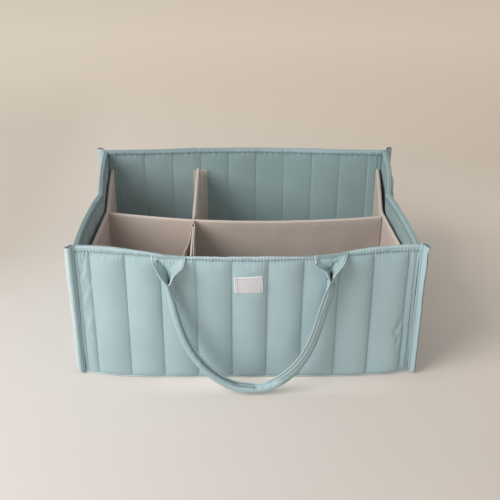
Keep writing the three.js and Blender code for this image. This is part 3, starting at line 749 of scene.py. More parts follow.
GATHER_RISE = 3.4 * MM
WAVE, WAVE_LENGTH = 0.22 * MM, 21 * MM
ROUGH, ROUGH_LENGTH = 0.3 * MM, 4.1 * MM
CROWN_HOLD = 0.7
# The side and back hems slim down towards their middle: how far, from where and how softly
PLAIN_SLIM, SLIM_START, SLIM_RUN = 0.35, 20 * MM, 50 * MM
# The sag pulls at the hem from this height on
SAG_START, SAG_RISE = 170.8 * MM, 5 * MM
# Rows of the hem's outline: the second seam on top of the side hems, its dip, and the ridge with its painted
# highlight
TOP_SEAM = 19
TOP_SEAM_DIP = 0.55 * MM
CROWN_ROWS = 5.0
RIDGE_ROWS = {"front": (0.72, 2.6), "back": (0.72, 2.6), "left": (0.5, 1.6), "right": (0.5, 1.6)}
RIDGE_PALE = {"front": 0.42, "back": 0.2, "left": 0.2, "right": 0.2}
# Painted shade on the side hems, and on the back hem at places along it, in mm
HEM_SHADE = {"left": 0.4, "right": 0.3}
BACK_HEM_SHADE = ((-90, -50, 0, 60, 120), (0.5, 0.42, 0.32, 0.22, 0.2))
# Along the front: how slim the hem is, and how far its top is pulled down, in mm
FRONT_SLIM = ((-200, -165, -135, -60, 60, 130, 165, 200), (0, 0.1, 0.7, 1, 1, 0.75, 0.55, 0.4))
FRONT_SAG = (
    (-200, -185, -155, -135, -118, -104, -94, -84, -70, -59, -38, 0, 30, 50, 78, 95, 110, 120, 130,
     145, 170, 190, 200),
    (-0.4, -0.8, -0.9, -0.6, 0.1, 1.6, 2.9, 2.9, 2.6, 1.6, 0.4, -0.5, 0.0, 1.3, 4.2, 3.2, 1.8, 0.3, -0.9,
     -1.7, -2.0, -2.2, -1.6),
)


def hem_sag(wall, along):
    """How far the front hem is pulled down."""
    if wall.name != "front":
        return 0 * along
    return np.interp(along / MM, *FRONT_SAG) * MM


def spline(points, steps):
    """A smooth line through points."""
    points = np.asarray(points, float)
    padded = np.concatenate([2 * points[:1] - points[1:2], points, 2 * points[-1:] - points[-2:-1]])
    out = []
    for i in range(1, len(padded) - 2):
        a, b, c, d = padded[i - 1:i + 3]
        for t in np.linspace(0, 1, steps + 1)[:-1]:
            out.append(0.5 * (2 * b + (c - a) * t + (2 * a - 5 * b + 4 * c - d) * t ** 2
                              + (3 * b - 3 * c + d - a) * t ** 3))
    out.append(points[-1])
    return np.array(out)


def valley_run(wall, along):
    """Distance along the hem's stitching at places on the wall, from the first stitch's start."""
    fine = np.linspace(SEAM_INSET - wall.half, wall.half - SEAM_INSET, 600)
    reach = running(wall.point(fine, VALLEY_DEPTH, HEM_FOOT))
    spare = (reach[-1] - int(reach[-1] / STITCH) * STITCH) / 2
    return np.interp(along, fine, reach) - spare


# Puckers beside the hem's stitching: their height, and what a corner and a channel seam add, and how far
GATHER = 0.85 * MM
CORNER_GATHER = (0.45 * MM, 26 * MM)
SEAM_GATHER = (0.40 * MM, 7 * MM)
LOOSE_LENGTH = 9.0 * MM
BROAD_LENGTH = 3.9 * MM


def gathers(wall, along, inner=False):
    """Puckers beside the hem's stitching: how far the cloth stands up, and the needle holes."""
    seed = 40 * list(WALLS).index(wall.name) + (12 if inner else 10)
    run = valley_run(wall, along)
    beat = np.cos(2 * np.pi * run / STITCH)
    loose = 0.5 + 0.5 * ripple(seed, run / LOOSE_LENGTH + 40)
    broad = ripple(seed + 1, run / BROAD_LENGTH + 90)
    seam_gap = np.min([np.abs(along - x) for x in wall.seams], axis=0)
    size = GATHER + faded(wall.half - np.abs(along), *CORNER_GATHER) + faded(seam_gap, *SEAM_GATHER)
    hole = (0.5 + 0.5 * beat) ** 1.3
    return size * ((0.5 - 0.5 * beat) * (0.5 + loose) + 0.6 * broad - 0.3), hole


def hem(wall, thread):
    """A wall's hem binding, and its rows of stitches."""
    side_wall = wall.name in ("left", "right")
    full, slim = spline(HEM_FULL, 2), spline(HEM_SLIM, 2)
    rows, middle = np.arange(len(full))[:, None], len(full) // 2
    along = np.linspace(-wall.half, wall.half, int(2 * wall.half / HEM_STEP))[None, :]
    if wall.name == "front":
        share = np.interp(along / MM, *FRONT_SLIM)
    else:
        share = PLAIN_SLIM * smooth((wall.half - SLIM_START - np.abs(along)) / SLIM_RUN)
    depth, z = (lerp(full[:, k:k + 1], slim[:, k:k + 1], share) for k in (0, 1))
    z = z - hem_sag(wall, along) * smooth((z - SAG_START) / SAG_RISE)
    both = [gathers(wall, along, inner) for inner in (False, True)]
    pleat, hole = (np.where(rows > middle, both[1][k], both[0][k]) for k in (0, 1))
    sign = np.where(rows > middle, 1, -1)
    valley = hill(z, *VALLEY)
    low = fading(z - HEM_FOOT, GATHER_RISE) * (1 - valley)
    wave = WAVE * ripple(7, along / WAVE_LENGTH + 60 * wall.half) * (1 - valley)
    crown = hill(rows, middle, CROWN_ROWS)
    rough = ROUGH * crown * (ripple(9, along / ROUGH_LENGTH + 90 * wall.half) - 0.6)
    # Painted shade in the stitched valley, most at the needle holes, and low between the puckers
    painted_shade = valley * (0.15 + 0.75 * hole) + 0.3 * np.clip(0.6 - 1.2 * pleat / MM, 0, 1) * low
    # The side hems get painted shade along their top seam and all over; the back hem gets painted shade that
    # changes along it
    if side_wall:
        rough = rough - TOP_SEAM_DIP * hill(rows, TOP_SEAM, 1.0)
        painted_shade = painted_shade + hill(rows, TOP_SEAM, 0.9) + HEM_SHADE[wall.name]
    if wall.name == "back":
        painted_shade = painted_shade + np.interp(along / MM, *BACK_HEM_SHADE)
    shift = pleat * low + wave - NEEDLE_DEPTH * valley * hole
    face = wall.point(along, depth + sign * shift * (1 - CROWN_HOLD * crown), z + rough)
    ends = full[[0, -1]] + np.array([[0.5, 0], [-0.5, 0]]) * MM
    back = wall.point(along, ends[:, :1], ends[:, 1:])
    # A painted highlight along the hem's ridge
    ridge_share, ridge_rows = RIDGE_ROWS[wall.name]
    ridge = hill(rows, ridge_share * middle, ridge_rows) * np.ones_like(along)
    marks = {"painted_shade": np.clip(painted_shade, 0, 1), "edge": RIDGE_PALE[wall.name] * ridge}
    piece = closed_grid(f"{wall.name}_hem", face, back, marks, sharp=70)
    dress(piece, SAGE, replaces=[f"{wall.name}_hem_binding"])
    if side_wall:
        thread.row(face[TOP_SEAM, 3:-3], (0.0, 0.0, 1.0), pitch=STITCH, radius=0.24 * MM, sink=0.05 * MM)
    run = np.linspace(SEAM_INSET - wall.half, wall.half - SEAM_INSET, 600)
    normals = wall.outwards(run, np.full_like(run, HEM_FOOT))
    for stretch, depth, side in ((1.0, 0.42 * MM, 1), (0.97, 5.4 * MM, -1)):
        thread.row(wall.point(run * stretch, depth, HEM_FOOT), side * normals, pitch=STITCH,
                   share=0.6, radius=0.32 * MM)


def wall_threads(wall, thread):
    """Stitches of the channel seams on both faces, and beside the fins."""
    z = np.linspace(PANEL_BOTTOM + 2 * MM, HEM_FOOT - 2 * MM, 90)
    for seam in wall.seams:
        for lining in (False, True):
            along = np.full_like(z, seam)
            depth, _ = quilt_depth(wall, along, z, lining)
            normal = wall.outwards(along, z) * (-1 if lining else 1)
            thread.row(wall.point(along, depth, z), normal, SEAM_PITCH, radius=0.22 * MM, sink=0.05 * MM)
    for end in (-1, 1):
        along = np.full_like(z, end * (wall.half - RIDGE))
        depth, _ = quilt_depth(wall, along, z)
        thread.row(wall.point(along, depth, z), wall.outwards(along, z), SEAM_PITCH)


# Corner fins

FIN_REACH = 11.4 * MM
FIN_ROOT = 0.5 * MM
FIN_FOOT, FIN_FOOT_ROUND = 2 * MM, 7 * MM
FIN_FOOT_SHARE = 0.62
FIN_TOP, FIN_TOP_RISE = 169 * MM, 8 * MM
FIN_GAPE = 0.85 * MM
# A fin's free edge waves in reach: seed, height and length. Both plies wave together, and each is rough
FIN_EDGE_WAVES = ((0, 0.35 * MM, 17 * MM), (9, 0.25 * MM, 6 * MM))
FIN_WAVE, FIN_WAVE_LENGTH = 0.5 * MM, 31 * MM
FIN_ROUGH, FIN_ROUGH_LENGTH = 0.12 * MM, 7 * MM
FIN_UPPER, FIN_UPPER_RISE = 150 * MM, 28 * MM
# The ply nearer the right stands a little higher than the other
FIN_STEP_UP, FIN_STEP_DOWN = 0.9 * MM, -0.3 * MM
FIN_SPANS = ((2, 10, 10), (12, 168, 70), (169.5, 178, 12))
FIN_ROWS = np.concatenate([np.linspace(*span) for span in FIN_SPANS]) * MM
# A ply's outline, along its outside and back between the plies: share of its reach, and thickness in mm
FIN_LINE = np.array([
    (0.0, 0.22), (0.0, 1.25), (0.06, 1.42), (0.14, 1.2), (0.22, 1.0), (0.30, 1.12), (0.45, 1.34),
    (0.62, 1.4), (0.78, 1.3), (0.9, 1.12), (0.965, 0.86), (1.0, 0.5), (0.985, 0.24), (0.9, 0.18),
    (0.5, 0.16),
])
FIN_STEPS = 80
CURL_START, CURL_RUN = 0.36, 0.26
# Where along a ply's outline its seam, its rim and its painted highlight lie
FIN_SEAM, FIN_RIM, FIN_PALE = 0.27, 0.745, 0.42
# Name, side, drop, curl in degrees, lift, flare, and how strong the edge's painted highlight and painted
# shade are
FINS = (
    ("corner_fin_front_left", -1, -1, 3.4 * MM, -66, 3.2 * MM, 0.0, 0.85, 0.0),
    ("corner_fin_front_right", 1, -1, 1.2 * MM, -12, 4.6 * MM, 2.4 * MM, 0.12, 0.95),
    ("corner_fin_back_left", -1, 1, 1.5 * MM, 20, 0.5 * MM, 0.5 * MM, 0.0, 0.3),
    ("corner_fin_back_right", 1, 1, 1.2 * MM, -18, 0.5 * MM, 0.5 * MM, 0.0, 0.3),
)


def fin_plies(sign_x, sign_y, drop, curl, lift, flare):
    """Two plies of a seam allowance, side by side, each turned in at its edge."""
    outwards = unit(np.array([sign_x, sign_y], float))
    across = np.array([-outwards[1], outwards[0]])
    corner = np.array([sign_x * WIDTH_HALF, sign_y * DEPTH_HALF])
    seed = 300 + 2 * sign_x + sign_y
    z = FIN_ROWS[:, None]
    line = np.concatenate([spline(FIN_LINE, 2), FIN_LINE[:1] + [[0.02, 0]]])
    u, thick = line[None, :, 0], line[None, :, 1]
    steps = np.linspace(0, 1, FIN_STEPS + 1)
    heading = math.radians(curl) * beyond(steps, CURL_START, CURL_RUN)
    middle, aside = (
        np.concatenate([[0], np.cumsum((way[1:] + way[:-1]) / (2 * FIN_STEPS))])
        for way in (np.cos(heading), np.sin(heading))
    )
    turn = np.interp(u, steps, heading)
    top = beyond(z, FIN_TOP, FIN_TOP_RISE)
    foot = quarter_round((z - FIN_FOOT) / FIN_FOOT_ROUND)
    reach = FIN_REACH * lerp(FIN_FOOT_SHARE, 1, foot) - FIN_ROOT + flare * top
    for step, high, length in FIN_EDGE_WAVES:
        reach = reach + high * ripple(seed + step, z / length)
    wave = FIN_WAVE * ripple(seed + 3, z / FIN_WAVE_LENGTH) * u
    upper = beyond(z, FIN_UPPER, FIN_UPPER_RISE)
    for half, side in (("a", 1), ("b", -1)):
        rough = FIN_ROUGH * ripples(seed + 5 + side, u * 4 + 7, z / FIN_ROUGH_LENGTH) * (thick > 0.6)
        shrink = 1 - 0.25 * beyond(z, FIN_TOP + MM, FIN_TOP_RISE) * (thick > 0.5)
        gape = FIN_GAPE * top * beyond(u, 0.05, 0.35) * within(u, 1.02, 0.25)
        off = side * (thick * MM * shrink + rough + gape) + wave
        run = FIN_ROOT + reach * np.interp(u, steps, middle) - off * np.sin(turn)
        shift = reach * np.interp(u, steps, aside) + off * np.cos(turn)
        step = FIN_STEP_UP if side * sign_x > 0 else FIN_STEP_DOWN
        height = z + (lift - drop * u) * upper + step * upper * (u > 0.1)
        flat = corner + outwards * run[..., None] + across * shift[..., None]
        face = np.concatenate([flat, np.broadcast_to(height, run.shape)[..., None]], axis=-1)
        yield half, face, across * side


def tube_grid(name, rings, marks=None, sharp=60):
    """A closed piece through rings of points, with a flat cap at each end."""
    rows, columns = rings.shape[:2]
    f = np.arange(rows * columns).reshape(rows, columns)
    g = np.roll(f, -1, axis=1)
    quads = np.stack([f[:-1], g[:-1], g[1:], f[1:]], axis=-1).reshape(-1, 4)
    caps = [f[0][::-1], f[-1]]
    closed = np.concatenate([rings, rings[:, :1]], axis=1)
    uv = grid_uv(closed)[:, :-1]
    return build_mesh(name, rings.reshape(-1, 3), quads, caps, uv.reshape(-1, 2),
                      {k: np.ravel(v) for k, v in (marks or {}).items()}, sharp)


def corner_fins(thread):
    for name, sign_x, sign_y, drop, curl, lift, flare, pale, painted_dark in FINS:
        for half, face, normal in fin_plies(sign_x, sign_y, drop, curl, lift, flare):
            rows, columns = face.shape[:2]
            share = np.linspace(0, 1, columns)
            thick = np.append(spline(FIN_LINE, 2)[:, 1], FIN_LINE[0, 1])
            # Painted shade at the seam, between the plies and along the rim, and a painted highlight on the
            # outer part
            between = np.clip(1.6 - 4 * thick, 0, 1)
            painted_shade = hill(share, FIN_SEAM, 0.05) + between + painted_dark * hill(share, FIN_RIM, 0.06)
            edge = pale * beyond(share, FIN_PALE, 0.1) * (1 - between)
            marks = {"edge": np.tile(edge, (rows, 1)), "painted_shade": np.tile(np.clip(painted_shade, 0, 1), (rows, 1))}
            piece = tube_grid(f"{name}_{half}_ply", face, marks)
            dress(piece, SAGE, replaces=[name])
            thread.row(face[3:-3, int(columns * FIN_SEAM)], (*normal, 0.0), SEAM_PITCH)


# Base

# The base panel's outline: depth inside the walls, and height
BASE_LINE = np.array([(1.6, 0.0), (0.5, 0.25), (-0.25, 0.9), (-0.45, 1.7), (-0.1, 2.5), (0.7, 3.0)]) * MM
# A painted highlight: a pale band round the base panel at this height, this wide
BASE_EDGE, BASE_EDGE_WIDTH = 1.6 * MM, 0.8 * MM
PAD_DEPTH = 8.1 * MM
PAD_LOW = BASE_TOP - 1.0 * MM
PAD_UNDER = BASE_TOP - 2.5 * MM
PAD_CROWN = 0.75 * MM
PAD_WAVE = 0.2 * MM
PAD_WAVE_LONG, PAD_WAVE_WIDE = 30 * MM, 26 * MM
PAD_RIM = 6 * MM
PAD_SEAM_SHIFT = 20.5 * MM


def base_ring(depth, z, count):
    """The base's front edge and back edge at a depth inside the walls."""
    along = np.linspace(-WIDTH_HALF, WIDTH_HALF, count)
    edges = [WALLS[name].point(along, depth, z) for name in ("front", "back")]
    return edges[0], edges[1]


def base_pieces():
    """The base panel, and the lining over the base board."""
    profile = spline(BASE_LINE, 2)
    rows = []
    for depth, z in profile:
        near, far = base_ring(depth, z, 160)
        rows.append(np.concatenate([near, far[::-1]]))
    rings = np.array(rows)
    # The pale band round the base panel is a painted highlight
    edge = hill(profile[:, 1:], BASE_EDGE, BASE_EDGE_WIDTH) * np.ones((1, rings.shape[1]))
    panel = tube_grid("base_panel", rings, {"edge": edge})
    dress(panel, SAGE, replaces=["base_outer_panel"])
    front, back = base_ring(PAD_DEPTH, 0.0, 220)
    cross = np.linspace(0, 1, 150)[:, None]
    top = front[None] * (1 - cross[..., None]) + back[None] * cross[..., None]
    y = top[..., 1]
    channel = np.abs(np.sin(np.pi * (y + PAD_SEAM_SHIFT) / PITCH))
    rim = quarter_round(np.minimum(cross, 1 - cross) * 2 * DEPTH_HALF / PAD_RIM)
    wave = ripples(501, top[..., 0] / PAD_WAVE_LONG + 30, y / PAD_WAVE_WIDE + 30)
    top[..., 2] = PAD_LOW + (PAD_CROWN * channel ** 0.7 + PAD_WAVE * wave * channel) * rim
    under = top[[0, -1]].copy()
    under[..., 2] = PAD_UNDER
    # Painted shade along the pad's channel seams
    pad = closed_grid("base_pad", top, under, {"painted_shade": fading(channel, 0.05)}, sharp=75)
    dress(pad, SAGE_LINING, replaces=["base_lining"])


# Label

LABEL_ROWS, LABEL_COLUMNS = 51, 81
LABEL_ROUND = 0.6 * MM
# The label's cloth: its thickness, what a folded end adds, how far its seam sinks, its seat and its wave
LABEL_THICK, LABEL_FOLDED, LABEL_SINK = 0.55 * MM, 0.35 * MM, 0.4 * MM
LABEL_CLEAR, LABEL_WAVE, LABEL_BACK = 0.25 * MM, 0.16 * MM, 0.1 * MM
LABEL_FOLD, LABEL_FOLD_EDGE = 4.4 * MM, 0.5 * MM
# Where the label's painted shade lies, along its sewn lines, near its top and foot and at its fold, and its
# pale rim: how far in, and how wide
LABEL_SEAM = (1.9 * MM, 0.4 * MM)
LABEL_LINE = (2.2 * MM, 0.35 * MM)
LABEL_FOLD_LINE = (4.5 * MM, 0.4 * MM)
LABEL_RIM = (0.5 * MM, 0.7 * MM)
LABEL_STITCH_COLUMNS = (5, 75)
TAPE_BOTTOM, TAPE_TOP = 20.9 * MM, 146 * MM
TAPE_HALF = 10 * MM
TAPE_THICK, TAPE_SINK = 1.3 * MM, 0.05 * MM
TAPE_NAP, TAPE_NAP_LENGTH = 0.12 * MM, 2.2 * MM
# Where the centre divider and its loop tapes stand
FLAP_PLACE = -67 * MM


def label_piece():
    """The bare woven label, with folded ends that are sewn down."""
    wall = WALLS["front"]
    u = np.linspace(-0.5, 0.5, LABEL_COLUMNS)[None, :]
    v = np.linspace(-0.5, 0.5, LABEL_ROWS)[:, None]
    across, up = u * LABEL_WIDTH, v * LABEL_HEIGHT
    along = LABEL_SHIFT + across * math.cos(LABEL_TILT) - up * math.sin(LABEL_TILT)
    z = LABEL_CENTRE + across * math.sin(LABEL_TILT) + up * math.cos(LABEL_TILT)
    depth, _ = quilt_depth(wall, along, z)
    depth = lerp(depth, depth.mean(axis=0, keepdims=True), 0.8)
    side, end = (0.5 - np.abs(u)) * LABEL_WIDTH, (0.5 - np.abs(v)) * LABEL_HEIGHT
    rim = np.minimum(side, end)
    sewn = hill(side, *LABEL_SEAM)
    wave = LABEL_WAVE * ripples(77, u * 5 + 9, v * 3 + 9)
    lift = LABEL_THICK + LABEL_FOLDED * within(side, LABEL_FOLD, LABEL_FOLD_EDGE) - LABEL_SINK * sewn
    lift = lift * quarter_round(rim / LABEL_ROUND, 0.02) + LABEL_CLEAR + wave
    face = wall.point(along, depth - lift, z)
    back = wall.point(along, depth - LABEL_BACK, z)
    # Painted shade along the sewn ends, at the right end's fold and near the top and foot; the edge mark is
    # the label's pale frayed rim
    shade = 0.5 * sewn + 0.25 * hill(side, *LABEL_FOLD_LINE) * (u > 0)
    marks = {"edge": hill(rim, *LABEL_RIM), "painted_shade": np.maximum(0.22 * hill(end, *LABEL_LINE), shade)}
    piece = closed_grid("woven_label_cloth", face, back, marks, sharp=50)
    dress(piece, LABEL, replaces=["woven_label"])
    thread = Thread()
    for column in LABEL_STITCH_COLUMNS:
        thread.row(face[1:-1, column], wall.outwards(along[1:-1, column], z[1:-1, column]),
                   pitch=2.0 * MM, radius=0.16 * MM, sink=-0.02 * MM)
    dress(thread.piece("woven_label_stitches"), LABEL_THREAD)


def loop_tape(wall):
    """The tape on the lining that holds the centre divider's free edge."""
    u = np.linspace(-1, 1, 15)[None, :]
    z = np.linspace(TAPE_BOTTOM, TAPE_TOP, 60)[:, None]
    along = FLAP_PLACE + u * TAPE_HALF
    depth, _ = quilt_depth(wall, along, z, True)
    nap = TAPE_NAP * ripples(610, u * 8 + 9, z / TAPE_NAP_LENGTH)
    face = wall.point(along, depth + TAPE_THICK + nap, z)
    back = wall.point(along, depth + TAPE_SINK, z)
    piece = closed_grid(f"{wall.name}_loop_strip", face, back, sharp=50)
    dress(piece, TAPE, replaces=[f"{wall.name}_loop_tape"])


# Handles

HANDLE_SPREAD = 182 * MM
HANDLE_DROP = 173 * MM
HANDLE_LEAN = 5 * MM
HANDLE_SLOPE = math.radians(8.7)
SIDE_POWER = 0.92
DROP_POWER = 0.952
AXIS_Z = 0.17905
AXIS_OUT = {"front": 0.159034, "back": 0.149949}
FLARE = 40 * MM
TUBE = 4.3 * MM
PLY = 0.72 * MM
ROOT_START = 2.7 * MM
FLAT_ARC = 16.4 * MM
FULL_TURN = math.radians(168.5)
LIP_GAP = 0.95 * MM
LIPS = {"outer": 2.5 * MM, "inner": 4.2 * MM}
LIP_STEPS = 9
ARC_STEPS = 26
HANDLE_STITCH = 3.2 * MM
SEAM_GAP = 2.1 * MM
ROOT_LIFT = {"left": 0.4 * MM, "right": 3.2 * MM}
BAR_TACK = 0.513
# Along the handle: painted shade on the nearer lip, in its sewn groove and in the seam's mouth, how far the
# lip's shade reaches in mm, and the painted highlight and painted shade at the far lip's tip
LIP_SHADE = ((0.1, 0.27, 0.34, 0.44, 0.47), (0.2, 0.25, 0.5, 0.5, 0.12))
GROOVE_SHADE = ((0.42, 0.45, 0.515, 0.52), (0.0, 0.8, 0.9, 0.0))
MOUTH_SHADE = ((0.45, 0.47, 0.57, 0.6), (1.2, 0.35, 0.35, 0.5))
LIP_REACH = ((0.34, 0.44), (5.0, 3.7))
TIP_PALE = ((0.5, 0.58), (0.06, 0.5))
TIP_DARK = ((0.25, 0.34, 0.4, 0.5), (0.3, 0.22, 0.08, 0.0))

# Along the handle: how far its line stands to the right of an even loop, in mm
DRIFT = (
    (0, 0.06, 0.09, 0.13, 0.19, 0.25, 0.315, 0.375, 0.436, 0.6,
     0.7, 0.79, 0.85, 0.88, 0.9, 0.92, 0.94, 0.97, 1),
    (0.5, -0.4, -1.3, -1.4, -1.9, -2.9, -2.4, -0.8, 0, 0.8, 1.6, 1.2, 1.9, 4.8, 7.0, 6.8, 5.0, 4.0, 3.9),
)
# Along the handle: how far the lips are turned from the front towards the inside of the loop, in degrees
TWIST_ALONG = (
    (0, 0.15, 0.3, 0.375, 0.43, 0.5, 0.56, 0.62, 0.68, 0.76, 1),
    (45, 46, 52, 64, 76, 88, 90, 76, 60, 48, 45),
)
# How far down a root the lips start to turn inwards, and over what length
TWISTS = {"left": (33 * MM, 33 * MM), "right": (22 * MM, 32 * MM)}
# Each half of a root: how far its edge stands from the middle line at these distances below the swing line
EDGE_AT = (2.7, 6, 9, 12, 15, 18, 21, 24, 27, 30, 33, 36, 40)
EDGES = {
    ("left", "outer"): (20.9, 19.9, 18.0, 15.4, 13.5, 11.6, 10.0, 8.2, 5.1, 2.7, 1.2, 0.95, 0.95),
    ("left", "inner"): (20.0, 19.9, 18.8, 18.0, 14.6, 10.3, 7.0, 5.3, 4.1, 2.9, 1.2, 0.95, 0.95),
    ("right", "outer"): (19.5, 19.3, 17.4, 14.4, 11.8, 6.9, 2.0, 1.3, 1.0, 0.95, 0.95, 0.95, 0.95),
    ("right", "inner"): (18.9, 18.8, 18.3, 17.9, 11.3, 7.1, 6.0, 4.9, 3.2, 1.5, 1.0, 0.95, 0.95),
}
# Where the fold of each half sits, as a share of it, and how wide it is
FOLDS = {
    ("left", "outer"): ((4, 7, 10, 14, 20, 28), (0.72, 0.5, 0.34, 0.2, 0.08, 0.05), 0.22),
    ("left", "inner"): ((5, 12, 18, 28), (0.75, 0.62, 0.3, 0.1), 0.5),
    ("right", "outer"): ((5, 8, 12, 18, 28), (0.5, 0.32, 0.2, 0.08, 0.05), 0.26),
    ("right", "inner"): ((5, 11, 14, 20, 28), (0.86, 0.78, 0.42, 0.15, 0.1), 0.26),
}

# The fold line inside each root: distance below the swing line, and place across the strap, in mm
TUCKS = {
    "left": ((8.8, 9.4, 11.9, 16.2, 20.4, 24.1, 27), (-12.5, -10.5, -8, -5.6, -2.9, -1.9, -1.5)),
    "right": ((11.3, 13.7, 16.6, 18.4, 19.2, 17.5, 14.9, 10.6), (21, 18, 13.5, 8, 0.6, -1, -2.5, -8)),
}


# The right root's tuck again, as a height for each place across
RIGHT_TUCK = ((-2.5, 0.6, 8, 13.5, 18, 21), (14.9, 19.2, 18.4, 16.6, 13.7, 11.3))
COLUMN_MM = 0.62


def tuck_marks(side, root, columns):
    """How near each place across the strap is to the fold line, how much painted shade it gets and how far it
    stands up.
    """
    down, across = root / MM, columns * COLUMN_MM
    line = np.array(TUCKS[side]).T
    start, run = line[:-1], np.diff(line, axis=0)
    here = np.stack([np.full_like(across, down), across], axis=1)[:, None]
    share = np.clip(((here - start) * run).sum(axis=2) / (run ** 2).sum(axis=1), 0, 1)
    apart = np.linalg.norm(here - start - share[..., None] * run, axis=2).min(axis=1)
    near = hill(apart, 0, 1.05) * within(down, 34, 6)
    if side == "left":
        past = across - np.interp(down, *TUCKS[side])
        shade = 0.46 * smooth(-past / 1.2) * beyond(down, 8, 3) * within(down, 40, 6)
        stand = 0.9 * hill(past, 1.7, 1.3) * beyond(down, 9, 4) * within(down, 30, 6)
    else:
        shade = 0.62 * fading(apart, 3.0) * within(down, 34, 6)
        under = beyond(down, np.interp(across, *RIGHT_TUCK), 1.2) * within(down, 38, 6)
        shade = np.maximum(shade, 0.5 * under * beyond(across, -1, 2))
        stand = 0
    return near, shade, (stand - 1.1 * near) * MM


def half_section(turn, fold, wide, lip, tuck):
    """Half of the strap's section: side, rise, heading and run from the spine to the edge."""
    share = turn / FULL_TURN
    closed = smooth((share - 0.5) / 0.45)
    v = np.linspace(0, 1, ARC_STEPS)
    step = smooth((v - fold) / wide + 0.5)
    step = (step - step[0]) / max(step[-1] - step[0], 1e-6)
    heading = turn * lerp(step, v, closed)
    length = lerp(FLAT_ARC, TUBE * FULL_TURN, smooth((share - 0.3) / 0.6))
    middle = (heading[1:] + heading[:-1]) / 2
    x = np.concatenate([[0], np.cumsum(np.cos(middle))]) * length / (ARC_STEPS - 1)
    y = np.concatenate([[0], np.cumsum(np.sin(middle))]) * length / (ARC_STEPS - 1)
    lip_heading = heading[-1]
    if x[-1] + math.cos(lip_heading) * lip < LIP_GAP:
        lip_heading = math.acos(float(np.clip((LIP_GAP - x[-1]) / lip, -1, 1)))
    reach = np.linspace(0, lip * tuck, LIP_STEPS + 1)[1:]
    bend = np.minimum(reach / (0.8 * MM), 1)
    lip_headings = lerp(heading[-1], lip_heading, bend)
    lip_step = lip * tuck / LIP_STEPS
    px = np.concatenate([x, x[-1] + np.cumsum(np.cos(lip_headings)) * lip_step])
    py = np.concatenate([y, y[-1] + np.cumsum(np.sin(lip_headings)) * lip_step])
    heading = np.concatenate([heading[:-1], [(heading[-1] + lip_headings[0]) / 2], lip_headings])
    across = np.concatenate([np.linspace(0, length, ARC_STEPS), length + reach])
    return px, py, heading, across


def turn_for(edge, fold, wide, lip):
    """The turn that brings a half's edge to a distance from the middle line."""
    low, high = 0.0, FULL_TURN
    for _ in range(18):
        middle = (low + high) / 2
        if half_section(middle, fold, wide, lip, 1.0)[0][-1] > edge:
            low = middle
        else:
            high = middle
    return (low + high) / 2


def half_turns(places, whole):
    """Turn and fold of both halves at each place along the handle."""
    found = {}
    root = np.minimum(places, whole - places)
    for half in ("outer", "inner"):
        turns, folds, wides = [], [], []
        for place, near in zip(places, root):
            name = "left" if place < whole / 2 else "right"
            at, value, wide = FOLDS[name, half]
            fold = float(np.interp(near / MM, at, value))
            edge = float(np.interp(near / MM, EDGE_AT, EDGES[name, half])) * MM
            if near >= FLARE:
                turns.append(FULL_TURN)
            else:
                turns.append(turn_for(edge, fold, wide, LIPS[half]))
                if edge < 1.3 * MM:
                    turns[-1] = lerp(FULL_TURN, turns[-1], smooth((edge / MM - 0.96) / 0.34))
            folds.append(fold)
            wides.append(wide)
        steps = np.concatenate([[0], np.cumsum(np.maximum(np.diff(places), 1e-5))])
        even = np.linspace(0, steps[-1], int(steps[-1] / (0.5 * MM)))
        window = np.exp(-np.linspace(-1.6, 1.6, 9) ** 2)
        padded = np.pad(np.interp(even, steps, turns), 4, mode="edge")
        flat = np.convolve(padded, window / window.sum(), mode="valid")
        found[half] = (np.interp(steps, even, flat), folds, wides)
    return found


def handle_path(wall_name):
    """The hanging loop's middle line: places along it, points, headings and the way inwards."""
    angle = np.linspace(0, np.pi, 2400)
    across, down = np.cos(angle), np.maximum(np.sin(angle), 0)
    side = -np.sign(across) * np.abs(across) ** SIDE_POWER
    x = side * HANDLE_SPREAD / 2 + HANDLE_LEAN * down
    y = HANDLE_DROP * down ** DROP_POWER
    reach = np.concatenate([[0], np.cumsum(np.hypot(np.diff(x), np.diff(y)))])
    whole = reach[-1]
    fine = np.linspace(ROOT_START, FLARE, 62)
    body = np.linspace(FLARE, whole - FLARE, int((whole - 2 * FLARE) / (0.62 * MM)))
    places = np.concatenate([fine[:-1], body, (whole - fine)[::-1][1:]])
    if wall_name == "front":
        window = np.hanning(241) / np.hanning(241).sum()
        drift = np.interp(reach / whole, *DRIFT) * MM
        x = x + np.convolve(np.pad(drift, 120, mode="edge"), window, mode="valid")
    px, py = np.interp(places, reach, x), np.interp(places, reach, y)
    step = 0.6 * MM
    hx = np.interp(places + step, reach, x) - np.interp(places - step, reach, x)
    hy = np.interp(places + step, reach, y) - np.interp(places - step, reach, y)
    size = np.hypot(hx, hy)
    hx, hy = hx / size, hy / size
    slope, drop = math.sin(HANDLE_SLOPE), math.cos(HANDLE_SLOPE)
    centre = np.stack([px, AXIS_OUT[wall_name] + py * slope, AXIS_Z - py * drop], axis=1)
    tangent = np.stack([hx, hy * slope, -hy * drop], axis=1)
    lift = np.array([0, drop, slope])
    inward = unit(np.cross(tangent, lift))
    return places, whole, centre, inward, lift


def twist_at(places, whole):
    """How far the lips have turned from the front towards the inside of the loop."""
    root = np.minimum(places, whole - places)
    share = places / whole
    full = np.interp(share, *TWIST_ALONG)
    first = smooth((root - TWISTS["left"][0]) / TWISTS["left"][1])
    last = smooth((root - TWISTS["right"][0]) / TWISTS["right"][1])
    return np.radians(full) * np.where(share < 0.5, first, last)


